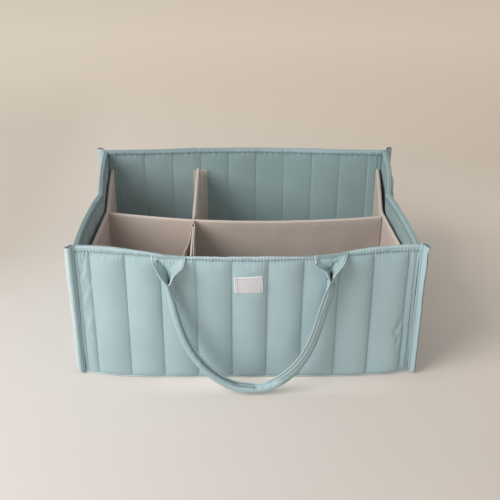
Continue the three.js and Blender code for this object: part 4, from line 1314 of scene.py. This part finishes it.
def strap_section(halves, tuck):
    """Columns across the strap: side, rise, outward normal, distance from the spine and from the edge."""
    parts = []
    for sign, name in ((-1, "outer"), (1, "inner")):
        turn, fold, wide = halves[name]
        px, py, heading, across = half_section(turn, fold, wide, LIPS[name], tuck)
        closed = smooth((turn / FULL_TURN - 0.3) / 0.7)
        normal = np.stack([sign * np.sin(heading), -np.cos(heading)], axis=1)
        parts.append((sign * px, py - TUBE * closed, normal, sign * across, across[-1] - across))
    shift = min(parts[0][1][0], parts[1][1][0])
    columns = []
    for k in range(5):
        first, second = parts[0][k], parts[1][k]
        if k == 1:
            first, second = first - first[0] + shift, second - second[0] + shift
        columns.append(np.concatenate([first[:0:-1], second]))
    return columns


BAND_WIDTH = 2.4 * MM
SEWN_WIDTH = 0.6 * MM
EDGE_ROUND = 0.8 * MM
RIM_PAD, BAND_PAD, SEWN_SINK = 0.32 * MM, 0.24 * MM, 0.34 * MM
STRAP_PLEAT = 0.75 * MM
PLEAT_PLACE = (4.6 * MM, 1.7 * MM)
STRAP_BEAT = 0.16 * MM
STRAP_SAG = 0.2 * MM
SLACK_LENGTH = 5.3 * MM
SAG_LENGTH, SAG_WIDTH = 13 * MM, 7 * MM
# Around this share of the handle its lips are tucked in, and so stand out less
OPENING, OPENING_RUN, OPENING_SHARE = 0.528, 0.022, 0.6
# How far down a root the strap lies on the wall, and how far on it leaves it
ROOT_LAID, ROOT_LEAVES = 8 * MM, 22 * MM
ROOT_SEAT = 0.1 * MM
QUILT_REACH = 3.4 * MM
HEM_OUT, HEM_OUT_START, HEM_OUT_RISE = 0.75 * MM, 170.5 * MM, 2 * MM
GROOVE = (4.3 * MM, 0.7 * MM)
BAND_LINE = (3.4 * MM, 0.7 * MM)
# Reaches and softness of the strap's painted shade and painted highlights, measured from the edge
TIP = 1.1 * MM
TACK_REACH, TACK_WIDTH = 7 * MM, 0.0022
SHADED_REACH = 8 * MM
LIP_SOFT, BODY_SOFT = 0.5 * MM, 1.2 * MM
LIP_PALE_START = 0.5 * MM
HEM_PALE = 0.9 * MM
SOFT = 0.3 * MM
# Shares of the handle where its right side starts, and where its open stretch starts and ends
RIGHT_SIDE, OPEN_FROM, OPEN_TO = (0.57, 0.03), (0.515, 0.004), (0.58, 0.02)
# A root is let down or lifted with the hem that carries it, and less and less from here on
DROP_START, DROP_RUN = 4 * MM, 26 * MM
STAND_START, STAND_RUN = 3 * MM, 7 * MM


class Strap:
    """The strap's section at one place, with what its shape and its marks are worked out from."""

    def __init__(self, seed, place, spot, halves):
        self.place, self.spot = place, spot
        tuck = 1 - OPENING_SHARE * hill(spot, OPENING, OPENING_RUN)
        self.side, self.rise, self.normal, self.across, self.gap = strap_section(halves, tuck)
        open_share = min(halves["outer"][0], halves["inner"][0]) / FULL_TURN
        self.apart = 1 - beyond(open_share, 0.75, 0.2)
        self.closed = beyond(open_share, 0.8, 0.2)
        self.sewn = hill(self.gap, SEAM_GAP, SEWN_WIDTH)
        self.beside = hill(self.gap, *PLEAT_PLACE)
        self.beat = 0.5 - 0.5 * math.cos(2 * math.pi * place / HANDLE_STITCH)
        self.thick = self.thickness(seed)

    def thickness(self, seed):
        """The cloth's thickness to the outside and to the inside of the middle line."""
        gap, closed, apart, beat = self.gap, self.closed, self.apart, self.beat
        band = np.sin(np.pi * np.clip((gap - SEAM_GAP) / BAND_WIDTH, 0, 1)) ** 0.7
        rim = np.sin(np.pi * np.clip(gap / SEAM_GAP, 0, 1)) ** 0.7
        pad = RIM_PAD * rim + BAND_PAD * band - SEWN_SINK * self.sewn
        rounding = quarter_round(gap / EDGE_ROUND, 0.06)
        puff = STRAP_BEAT * rim * (beat - 0.5)
        loose = ripple(seed, np.full_like(gap, self.place / SLACK_LENGTH) + 50 * (self.across > 0) + 3)
        sag = ripples(seed + 1, self.place / SAG_LENGTH + 20, self.across / SAG_WIDTH + 20)
        pleat = STRAP_PLEAT * self.beside * (beat * (0.7 + 0.5 * loose) + 0.4 * loose - 0.2)
        outer = (PLY + pad) * rounding + puff + closed * (pleat + STRAP_SAG * sag)
        return outer, (PLY + apart * pad) * rounding + apart * puff

    def rows(self, centre, inward, lift, twist):
        """The points of the outer and the inner side."""
        c, d = math.cos(twist), math.sin(twist)
        for off in (self.thick[0], -self.thick[1]):
            s, r = self.side + self.normal[:, 0] * off, self.rise + self.normal[:, 1] * off
            yield centre + inward * (s * c + r * d)[:, None] + lift * (r * c - s * d)[:, None]

    def marks(self, fold):
        """Painted shade, then painted highlights, each of the outer and the inner side."""
        spot, gap, closed, apart = self.spot, self.gap, self.closed, self.apart
        near_lip = self.across < 0
        right_side = beyond(spot, *RIGHT_SIDE)
        # Painted shade on the outside: on the nearer lip, in the seam's mouth, on the right leg's body, at
        # the bar tack, on the stitched line and between its pleats
        lip = within(gap, np.interp(spot, *LIP_REACH) * MM, LIP_SOFT) * closed
        reach = np.where(near_lip, 1.8 - 1.1 * right_side, 0.9 - 0.4 * right_side) * MM
        mouth = closed * within(gap, reach, SOFT) * np.interp(spot, *MOUTH_SHADE)
        body = closed * right_side * 0.42 * beyond(gap, GROOVE[0], BODY_SOFT) * near_lip
        bar = closed * hill(spot, BAR_TACK, TACK_WIDTH) * within(gap, TACK_REACH, MM)
        stitched = self.sewn * (0.35 + 0.6 * (1 - self.beat)) * (1 - 0.7 * closed * (spot > 0.5))
        streak = closed * self.beside * (1 - self.beat) * 0.3
        lip_shade = lip * near_lip * np.interp(spot, *LIP_SHADE)
        outer = np.max([stitched + streak, mouth, lip_shade, body, 0.8 * bar], axis=0)
        if closed > 0:
            sewn_up = beyond(spot, *OPEN_TO) + within(spot, *OPEN_FROM)
            outer = np.where(gap < SHADED_REACH, outer * sewn_up, outer)
        # More painted shade in the sewn groove beside the nearer lip
        groove = hill(gap, *GROOVE) * near_lip * closed
        outer = outer + groove * (0.95 * right_side + np.interp(spot, *GROOVE_SHADE))
        # Painted shade on the inside: in the slot between the lips, along the root's fold, in the mouth and
        # at the far lip's tip
        slot = beyond(gap, np.where(near_lip, 0.8, 1.0) * MM, SOFT) * closed
        tip = closed * ~near_lip * within(gap, TIP, SOFT)
        inner = [1.2 * stitched * apart, slot, fold, 0.9 * mouth * near_lip, tip * np.interp(spot, *TIP_DARK)]
        # Painted highlights: along the strap's edges where it lies open, on the lips, along the band and at
        # the far lip's tip
        pale = hill(gap, 0, HEM_PALE) * apart
        lip_pale = (0.8 * ~near_lip + 0.75 * near_lip * right_side) * lip * beyond(gap, LIP_PALE_START, SOFT)
        band_pale = 0.6 * hill(gap, *BAND_LINE) * apart
        edges = (0.5 * pale + lip_pale, 0.75 * pale + band_pale + tip * np.interp(spot, *TIP_PALE))
        return (outer, np.max(inner, axis=0)), edges


def lay_on_wall(wall, rows, root, spine_y):
    """Brings a root's rows down onto the hem and the quilted wall below it."""
    conform = 1 - beyond(root, ROOT_LAID, ROOT_LEAVES)
    stands = beyond(root, STAND_START, STAND_RUN)
    for row, thick in zip(rows, (ROOT_SEAT, ROOT_SEAT + 2 * PLY)):
        along, z = row[:, 0], row[:, 2]
        hem_out = HEM_OUT * beyond(z, HEM_OUT_START, HEM_OUT_RISE)
        quilt_out = -quilt_depth(wall, along, np.minimum(z, HEM_FOOT))[0]
        face = wall.reach + wall.bulge(along / wall.half, np.minimum(z, HEIGHT))
        face = face + np.maximum(hem_out, np.minimum(quilt_out, QUILT_REACH))
        laid = face + thick * (1 - stands) + stands * np.maximum(row[:, 1] - spine_y, ROOT_SEAT)
        row[:, 1] = lerp(row[:, 1], laid, conform)


def handle_grid(wall_name):
    """The strap's outer and inner face, with its painted shade and painted highlights."""
    wall = WALLS[wall_name]
    places, whole, centre, inward, lift = handle_path(wall_name)
    twist = twist_at(places, whole)
    seed = 700 if wall_name == "front" else 740
    turns = half_turns(places, whole)
    outside, inside, painted_shade, edge = [], [], [], []
    for i, place in enumerate(places):
        root, spot = min(place, whole - place), place / whole
        end = "left" if spot < 0.5 else "right"
        strap = Strap(seed, place, spot, {k: (v[0][i], v[1][i], v[2][i]) for k, v in turns.items()})
        rows = list(strap.rows(centre[i], inward[i], lift, twist[i]))
        middle = len(strap.side) // 2
        spine_y = rows[0][middle, 1]
        drop = hem_sag(wall, centre[i][0])
        if wall_name == "front":
            drop = drop - ROOT_LIFT[end]
        for row in rows:
            row[:, 2] -= drop * (1 - beyond(root, DROP_START, DROP_RUN))
        if root < ROOT_LAID + ROOT_LEAVES:
            lay_on_wall(wall, rows, root, spine_y)
        near, shade, stand = tuck_marks(end, root, np.arange(len(strap.side)) - middle)
        rows[1][:, 1] += stand
        # The fold line and the pocket beside it get painted shade
        painted_shades, edges = strap.marks(np.maximum(1.1 * near, shade))
        outside.append(rows[0])
        inside.append(rows[1])
        painted_shade.append(painted_shades)
        edge.append(edges)
    flip = -1 if wall_name == "front" else 1
    outside, inside = np.array(outside), np.array(inside)
    outside[..., 1] *= flip
    inside[..., 1] *= flip
    marks = {}
    for key, both in (("painted_shade", painted_shade), ("edge", edge)):
        marks[key] = tuple(np.clip([pair[k] for pair in both], 0, 1) for k in (0, 1))
    return places, outside, inside, marks


def handle_piece(wall_name, label):
    """One handle: the folded strap and its stitches, sewn to the hem at both roots."""
    places, outside, inside, marks = handle_grid(wall_name)
    flip = -1 if wall_name == "front" else 1
    piece = closed_grid(f"{label}_sling", outside, inside, marks, sharp=70)
    piece.data.materials.append(HANDLE)
    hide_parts(f"{label}_strap", f"{label}_filler", f"{label}_left_tab", f"{label}_right_tab")
    thread = Thread()
    last = len(places) - 1
    spine = outside.shape[1] // 2
    for sign, half in ((-1, "outer"), (1, "inner")):
        column = spine + sign * (ARC_STEPS - 1 + int(round((LIPS[half] - SEAM_GAP) / LIPS[half] * LIP_STEPS)))
        for lined, other, parts in (
            (outside, inside, (slice(1, last),)), (inside, outside, (slice(1, 50), slice(last - 50, last))),
        ):
            across_step = lined[:, column + 1] - lined[:, column - 1]
            normal = unit(np.cross(across_step, np.gradient(lined[:, column], axis=0)))
            away = lined[:, column] - other[:, column]
            normal *= np.sign((normal * away).sum(axis=1, keepdims=True))
            for part in parts:
                thread.row(lined[part, column], normal[part], pitch=HANDLE_STITCH, share=0.55,
                           radius=0.2 * MM, sink=0.12 * MM)
    for row in (2, last - 2):
        thread.row(inside[row, 3:-3], (0.0, flip, 0.0), pitch=HANDLE_STITCH, sink=-0.05 * MM)
    stitches = thread.piece(f"{label}_stitches")
    stitches.data.materials.append(HANDLE_THREAD)
    top, foot = (0, flip * AXIS_OUT[wall_name], 0.177), (0, flip * AXIS_OUT[wall_name], 0.160)
    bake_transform(piece)
    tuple(top)
    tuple(foot)
    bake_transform(stitches)
    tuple(top)
    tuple(foot)


# Insert

PANEL_HALF = 2.5 * MM
INSERT_FABRIC = 1.2 * MM
INSERT_THREAD = 0.24 * MM
INSERT_HEM = 4 * MM
# The sleeve's cloth drapes less near its ends, near its top fold and beside the flaps' sewn roots
END_SLACK = 7 * MM
TOP_SLACK = 14 * MM
ROOT_SLACK = 14 * MM
FLAP_CALM = 12 * MM
# Broad drape, fine creases and the top's rise: height where it is fixed, and lengths along and up
DRAPE_LENGTH, DRAPE_RISE = 24 * MM, 34 * MM
FINE, FINE_LENGTH, FINE_RISE = 0.09 * MM, 5 * MM, 9 * MM
TOP_RISE, TOP_RISE_LENGTH = 0.25 * MM, 19 * MM
UPPER, UPPER_RUN = 100 * MM, 50 * MM
STITCH_SINK, STITCH_SINK_WIDTH = 0.3 * MM, 0.6 * MM
# How wide the painted shade along a sleeve's sewn hems is, and how far the painted highlight along its top
# fold reaches
STITCH_SHADE_WIDTH = 0.7 * MM
TOP_PALE = 1.4 * MM
DIVIDER_BOW = 24 * MM
DIVIDER_END = -4 * MM
DIVIDER_CENTRE = 25 * MM


def sleeve_line(half, bottom, top, steps=26):
    """A folded sleeve's outline: offset and height, up one side, over the fold and down the other."""
    up = np.linspace(0, 1, steps)
    z = bottom + (top - half - bottom) * up
    turn = np.linspace(0, np.pi, 11)[1:-1]
    left = np.stack([np.full(steps, half), z], axis=1)
    over = np.stack([half * np.cos(turn), top - half + half * np.sin(turn)], axis=1)
    right = np.stack([np.full(steps, -half), z[::-1]], axis=1)
    return np.concatenate([left, over, right])


def sleeve(name, place, left, half, old, seed, body, ends=True, loose=0.35):
    """A fabric sleeve over a board, along stations in plan."""
    count = len(place)
    line = sleeve_line(1.0, 0, 1)
    full = np.empty((len(line), count, 3))
    inner = np.empty_like(full)
    marks = {"painted_shade": np.zeros((len(line), count)), "edge": np.zeros((len(line), count))}
    run = running(place)
    for c in range(count):
        offset, z = sleeve_line(half[c], INSERT_BOTTOM, INSERT_TOP).T
        sign = np.sign(offset + 1e-9)
        end_gap = min(run[c], run[-1] - run[c])
        if ends:
            slack = smooth(end_gap / END_SLACK) * (1 - hill(place[c][0], FLAP_PLACE, FLAP_CALM))
        else:
            slack = smooth(run[c] / ROOT_SLACK)
        side = 20 * sign + 30
        broad = ripples(seed, run[c] / DRAPE_LENGTH + 8 + 0 * z, z / DRAPE_RISE + side)
        drape = 0.6 * loose * MM * (0.6 + broad) * slack * within(z, INSERT_TOP, TOP_SLACK)
        fine = FINE * ripples(seed + 1, run[c] / FINE_LENGTH + 8 + 0 * z, z / FINE_RISE + side)
        stitch = STITCH_SINK * hill(end_gap, INSERT_HEM, STITCH_SINK_WIDTH) if ends else 0
        offset = offset + sign * (drape + fine - stitch)
        fabric = min(INSERT_FABRIC, half[c] * 0.8)
        inside = sleeve_line(half[c] - fabric, INSERT_BOTTOM, INSERT_TOP - fabric)
        full[:, c, :2] = place[c] + left[c] * offset[:, None]
        rise = TOP_RISE * ripple(seed + 2, run[c] / TOP_RISE_LENGTH)
        full[:, c, 2] = z + rise * beyond(z, UPPER, UPPER_RUN)
        inner[:, c, :2] = place[c] + left[c] * inside[:, :1]
        inner[:, c, 2] = inside[:, 1]
        # A painted highlight along the top fold, and painted shade along the sewn hems
        marks["edge"][:, c] = 0.8 * fading(INSERT_TOP - z, TOP_PALE)
        marks["painted_shade"][:, c] = hill(end_gap, INSERT_HEM, STITCH_SHADE_WIDTH) if ends else 0
    piece = closed_grid(name, full, inner, marks, sharp=60)
    dress(piece, BLUSH, body=body, replaces=old)
    return full, run


def station_line(points):
    points = np.asarray(points, float)
    heading = unit(np.gradient(points, axis=0))
    return points, np.stack([-heading[:, 1], heading[:, 0]], axis=1)


def end_panel_out(wall, y):
    share = y / wall.half
    bulge = folded(LEFT_FOLD if wall.name == "left" else RIGHT_FOLD)
    lining = bulge(share, INSERT_TOP) - (WALL + 1.2 * MM)
    hem_side = bulge(share, HEIGHT) - (WALL + 0.3 * MM)
    return wall.reach + np.minimum(lining, hem_side) - 0.4 * MM - PANEL_HALF


def divider_y(x):
    return DIVIDER_END - DIVIDER_BOW * (1 - ((x - DIVIDER_CENTRE) / WIDTH_HALF) ** 2)


def insert_threads(thread, full, run, ends=(INSERT_HEM,)):
    """Stitches of a sleeve: along its hemmed ends and below its top fold."""
    rows = full.shape[0]
    whole = run[-1]
    upper = (rows - 9) // 2
    for gap in ends:
        for target in (gap, whole - gap):
            column = int(np.argmin(np.abs(run - target)))
            for part in (slice(1, upper - 1), slice(rows - upper + 1, rows - 1)):
                line = full[part, column]
                other = full[part, column + 1 if column + 1 < full.shape[1] else column - 1]
                normal = unit(np.cross(np.gradient(line, axis=0), other - line))
                middle = full[:, column, :2].mean(axis=0)
                away = np.concatenate([line[:, :2] - middle, np.zeros((len(line), 1))], axis=1)
                normal *= np.sign((normal * away).sum(axis=1, keepdims=True))
                thread.row(line, normal, SEAM_PITCH, radius=INSERT_THREAD)
    for row in (upper - 2, rows - upper + 1):
        line = full[row, 2:-2]
        middle = full[rows // 2, 2:-2]
        away = line - middle
        away[:, 2] = 0
        thread.row(line, unit(away), SEAM_PITCH, radius=INSERT_THREAD, sink=0.05 * MM)


def insert_pieces():
    thread = Thread()
    for side_name, sign in (("left", -1), ("right", 1)):
        wall = WALLS[side_name]
        low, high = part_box(f"{side_name}_end_cover")
        y = np.linspace(low.y, high.y, 90)
        place, left = station_line(np.stack([sign * end_panel_out(wall, y), y], axis=1))
        full, run = sleeve(f"{side_name}_end_sleeve", place, left, np.full(len(y), PANEL_HALF),
                           [f"{side_name}_end_cover"], 800 + 20 * sign, "insert", loose=0.25)
        insert_threads(thread, full, run)
    low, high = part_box("cross_divider_cover")
    x = np.linspace(low.x, high.x, 130)
    place, left = station_line(np.stack([x, divider_y(x)], axis=1))
    full, run = sleeve("cross_divider_sleeve", place, left, np.full(len(x), PANEL_HALF),
                       ["cross_divider_cover"], 850, "insert", loose=0.7)
    insert_threads(thread, full, run)
    dress(thread.piece("insert_stitches"), BLUSH_THREAD, body="insert")


# A flap's half thickness at distances from its sewn root, and its clearance from the cross divider
FLAP_AT = (-0.92, -0.7, 0.0, 3.0, 14.0, 400.0)
FLAP_HALF = (0.4, 0.75, 1.0, 1.0, 2.5, 2.5)
FLAP_STAND = 0.3 * MM + 1.0 * MM
FLAP_ROOT = 14 * MM
# The front flap's plies stand apart: side, way from the middle, and by how much
PLIES = (("left", 1, 6.5 * MM), ("right", -1, 0.9 * MM))
# A ply's broad wave, fine creases and rising top: height, and lengths along and up
PLY_WAVE, PLY_WAVE_LENGTH, PLY_WAVE_RISE = 0.45 * MM, 22 * MM, 36 * MM
PLY_FINE, PLY_FINE_LENGTH, PLY_FINE_RISE = 0.1 * MM, 6 * MM, 8 * MM
PLY_TOP, PLY_TOP_LENGTH = 0.5 * MM, 17 * MM
PLY_INWARD = -0.2 * MM
PLY_GAPE_START, PLY_GAPE_RUN = 20 * MM, 120 * MM
PLY_ROUND = 0.9 * MM
PLY_SPARE = 0.15 * MM


def flap_half(distance):
    return np.interp(distance / MM, FLAP_AT, FLAP_HALF) * MM


def flap_hinges():
    """Where the front and the rear flap are sewn to the cross divider."""
    slope = 2 * DIVIDER_BOW * (FLAP_PLACE - DIVIDER_CENTRE) / WIDTH_HALF ** 2
    stand = (PANEL_HALF + FLAP_STAND) * math.hypot(1, slope)
    return float(divider_y(FLAP_PLACE)) - stand, float(divider_y(FLAP_PLACE)) + stand


def rear_flap():
    hinge = flap_hinges()[1]
    _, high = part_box("rear_flap_cover")
    run = np.concatenate([np.linspace(-0.92, 14, 18), np.linspace(16, (high.y - hinge) / MM, 66)]) * MM
    place = np.stack([np.full_like(run, FLAP_PLACE), hinge + run], axis=1)
    left = np.tile([-1.0, 0.0], (len(run), 1))
    full, lengths = sleeve("rear_flap_sleeve", place, left, flap_half(run), ["rear_flap_cover"], 870,
                           "rear_flap", ends=False, loose=0.5)
    thread = Thread()
    insert_threads(thread, full, lengths, ends=())
    dress(thread.piece("rear_flap_stitches"), BLUSH_THREAD, body="rear_flap")


def front_flap():
    """Two plies that gape at the top, sewn together at their foot and root."""
    hinge = flap_hinges()[0]
    low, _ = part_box("front_flap_right_ply")
    length = hinge - low.y
    run = (np.concatenate([np.linspace(-0.92, 14, 16), np.linspace(16, length / MM, 60)]) * MM)[None, :]
    z = np.concatenate([np.linspace(0, 0.9, 40), np.linspace(0.91, 1, 9)])[:, None]
    z = INSERT_BOTTOM + (INSERT_TOP - INSERT_BOTTOM) * z
    share = np.clip((run - FLAP_ROOT) / (length - FLAP_ROOT), 0, 1)
    half = flap_half(run)
    fabric = np.minimum(INSERT_FABRIC, half - PLY_SPARE)
    roll = quarter_round((INSERT_TOP - z) / PLY_ROUND, 0.2)
    y = hinge - run
    thread = Thread()
    for side_name, sign, swell in PLIES:
        seed = 890 + sign
        bulge = swell * np.sin(np.pi * share ** 2) ** 2
        bulge = bulge * lerp(0.55, 1.0, beyond(z, PLY_GAPE_START, PLY_GAPE_RUN))
        wave = PLY_WAVE * ripples(seed, run / PLY_WAVE_LENGTH + 5, z / PLY_WAVE_RISE + 5)
        wave = np.maximum(wave * smooth(share * 6), PLY_INWARD)
        fine = PLY_FINE * ripples(seed + 4, run / PLY_FINE_LENGTH + 5, z / PLY_FINE_RISE + 5)
        outer = half + bulge + (wave + fine) * (share > 0) - fabric * 0.3 * (1 - roll)
        inner = half + bulge + wave * (share > 0) - fabric * lerp(0.7, 1, roll)
        rise = PLY_TOP * ripple(seed + 7, run / PLY_TOP_LENGTH) * beyond(z, UPPER, UPPER_RUN)
        face, back = (
            np.stack(np.broadcast_arrays(FLAP_PLACE - sign * off, y, z + rise), axis=-1)
            for off in (outer, inner)
        )
        # A painted highlight along the top fold, and painted shade along the stitched hem
        edge = 0.9 * fading(INSERT_TOP - z, 1.2 * MM) * np.ones_like(run)
        painted_shade = 0.7 * hill(z, INSERT_TOP - INSERT_HEM, 0.6 * MM) * np.ones_like(run)
        piece = closed_grid(f"front_flap_{side_name}_cloth", face, back, {"edge": edge, "painted_shade": painted_shade})
        dress(piece, BLUSH, body="front_flap", replaces=[f"front_flap_{side_name}_ply"])
        row = int(np.argmin(np.abs(z[:, 0] - (INSERT_TOP - INSERT_HEM))))
        thread.row(face[row, 17:-1], (-sign, 0, 0), SEAM_PITCH, radius=INSERT_THREAD)
    dress(thread.piece("front_flap_stitches"), BLUSH_THREAD, body="front_flap")


def boards():
    """The stiff boards and hook tapes keep their CAD shape, with a finish of their own."""
    for name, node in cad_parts.items():
        if "board" in name:
            node.data.materials.clear()
            node.data.materials.append(CREAM if name == "front_flap_board" else CARD)
        elif name.endswith("hook_tape"):
            node.data.materials.clear()
            node.data.materials.append(TAPE)


# Stage

FLOOR_HALF = 6.0
# The floor's tints, each on its left and on its right; the near tint is darker and warmer on the right, a
# painted shade
FLOOR_NEAR = (srgb(233, 228, 227), srgb(217, 206, 195))
FLOOR_FAR = (srgb(218, 207, 193), srgb(217, 203, 186))
FLOOR_GRAIN = srgb(200, 190, 178)
FLOOR_PATCH = srgb(196, 186, 170)
SKY, SKY_STRENGTH = srgb(232, 228, 222), 0.46
# Both lights aim here. Name, place, size, power and colour of each
LIGHT_AIM = mathutils.Vector((0, 0, 0.08))
LIGHTS = (
    ("key", (-1.75, -1.15, 1.5), 1.9, 54, (1.0, 0.985, 0.96)),
    ("fill", (1.5, -1.6, 1.3), 1.6, 3.8, (0.96, 0.98, 1.0)),
)


def gradient_floor():
    """A plain pale floor, which drifts in tint, with a painted glow that only the camera sees: brighter
    further back, beside the caddy on its right and in front of the handle.
    """
    a = FLOOR_HALF
    mesh = bpy.data.meshes.new("floor")
    mesh.from_pydata([(-a, -a, 0), (a, -a, 0), (a, a, 0), (-a, a, 0)], [], [(0, 1, 2, 3)])
    floor = bpy.data.objects.new("floor", mesh)
    bpy.context.scene.collection.objects.link(floor)
    n = Nodes("pale_floor")
    place = n.place()
    x, y = n.split(place)
    rightwards = n.spread(x, -0.45, 0.6)
    tint = n.blend(n.spread(y, -0.25, 0.9), n.blend(rightwards, *FLOOR_NEAR), n.blend(rightwards, *FLOOR_FAR))
    grain = n.noise(place, 30, 4.0)
    tint = n.blend(n.spread(grain, 0.3, 0.7, 0.0, 0.03), tint, FLOOR_GRAIN)
    patch = n.product(n.spread(x, -0.25, -0.37), n.spread(y, 0.02, 0.16), n.spread(y, 1.0, 0.65, 0.0, 0.5))
    tint = n.blend(patch, tint, FLOOR_PATCH)
    # Painted glow: more further back, in the shadow beside the caddy on its right, and on the strip of floor
    # in front of the wall
    depth = n.spread(y, 0.05, 1.3, 0.02, 0.38)
    beside = n.product(n.spread(x, 0.14, 0.34), n.spread(y, -0.3, 0.0), n.spread(y, 0.5, 0.25, 0.0, 0.16))
    before = n.product(n.spread(y, -0.19, -0.17), n.spread(y, -0.1, -0.14), n.spread(x, -0.14, -0.04),
                       n.spread(x, 0.2, 0.08, 0.0, 0.2))
    glow = n.maths("ADD", depth, n.maths("ADD", beside, before))
    seen = n.add("ShaderNodeLightPath").outputs["Is Camera Ray"]
    n.shade(Base_Color=tint, Roughness=0.75, Normal=n.bump(n.noise(place, 600, 2.0), 0.04, 0.5 * MM),
            Emission_Color=tint, Emission_Strength=n.product(seen, glow), Specular_IOR_Level=0.15)
    mesh.materials.append(n.material)


def lights():
    world = bpy.data.worlds.new("studio")
    bpy.context.scene.world = world
    world.use_nodes = True
    back = world.node_tree.nodes["Background"]
    back.inputs["Color"].default_value = SKY
    back.inputs["Strength"].default_value = SKY_STRENGTH
    for name, place, size, power, colour in LIGHTS:
        data = bpy.data.lights.new(name, "AREA")
        data.shape, data.size, data.energy, data.color = "DISK", size, power, colour
        lamp = bpy.data.objects.new(name, data)
        bpy.context.scene.collection.objects.link(lamp)
        lamp.location = place
        lamp.rotation_euler = (LIGHT_AIM - lamp.location).to_track_quat("-Z", "Y").to_euler()


CAMERA_PLACE = (-0.0113, -1.0420, 0.6849)
CAMERA_PITCH = math.radians(29.56)
CAMERA_YAW = math.radians(0.91)
CAMERA_ROLL = math.radians(0.32)
CAMERA_LENS = 64.944


def camera():
    """The camera that took the photo, as fitted to the caddy's corners."""
    data = bpy.data.cameras.new("camera")
    data.lens, data.sensor_width = CAMERA_LENS, 36
    cam = bpy.data.objects.new("camera", data)
    bpy.context.scene.collection.objects.link(cam)
    cp, sp = math.cos(CAMERA_PITCH), math.sin(CAMERA_PITCH)
    cy, sy = math.cos(CAMERA_YAW), math.sin(CAMERA_YAW)
    forward = mathutils.Vector((sy * cp, cy * cp, -sp))
    right = mathutils.Vector((cy, -sy, 0))
    up = right.cross(forward)
    cr, sr = math.cos(CAMERA_ROLL), math.sin(CAMERA_ROLL)
    side, high = cr * right + sr * up, -sr * right + cr * up
    turn = mathutils.Matrix((side, high, -forward)).transposed()
    cam.matrix_world = mathutils.Matrix.Translation(CAMERA_PLACE) @ turn.to_4x4()
    bpy.context.scene.camera = cam


# Everything

camera()
gradient_floor()
lights()
shell_thread = Thread()
for one in WALLS.values():
    quilt(one)
    quilt(one, lining=True)
    hem(one, shell_thread)
    wall_threads(one, shell_thread)
corner_fins(shell_thread)
dress(shell_thread.piece("shell_stitches"), SAGE_THREAD)
base_pieces()
label_piece()
loop_tape(WALLS["front"])
loop_tape(WALLS["back"])
handle_piece("front", "front_handle")
handle_piece("back", "rear_handle")
insert_pieces()
rear_flap()
front_flap()
boards()

bpy.context.scene.view_settings.view_transform = "Standard"
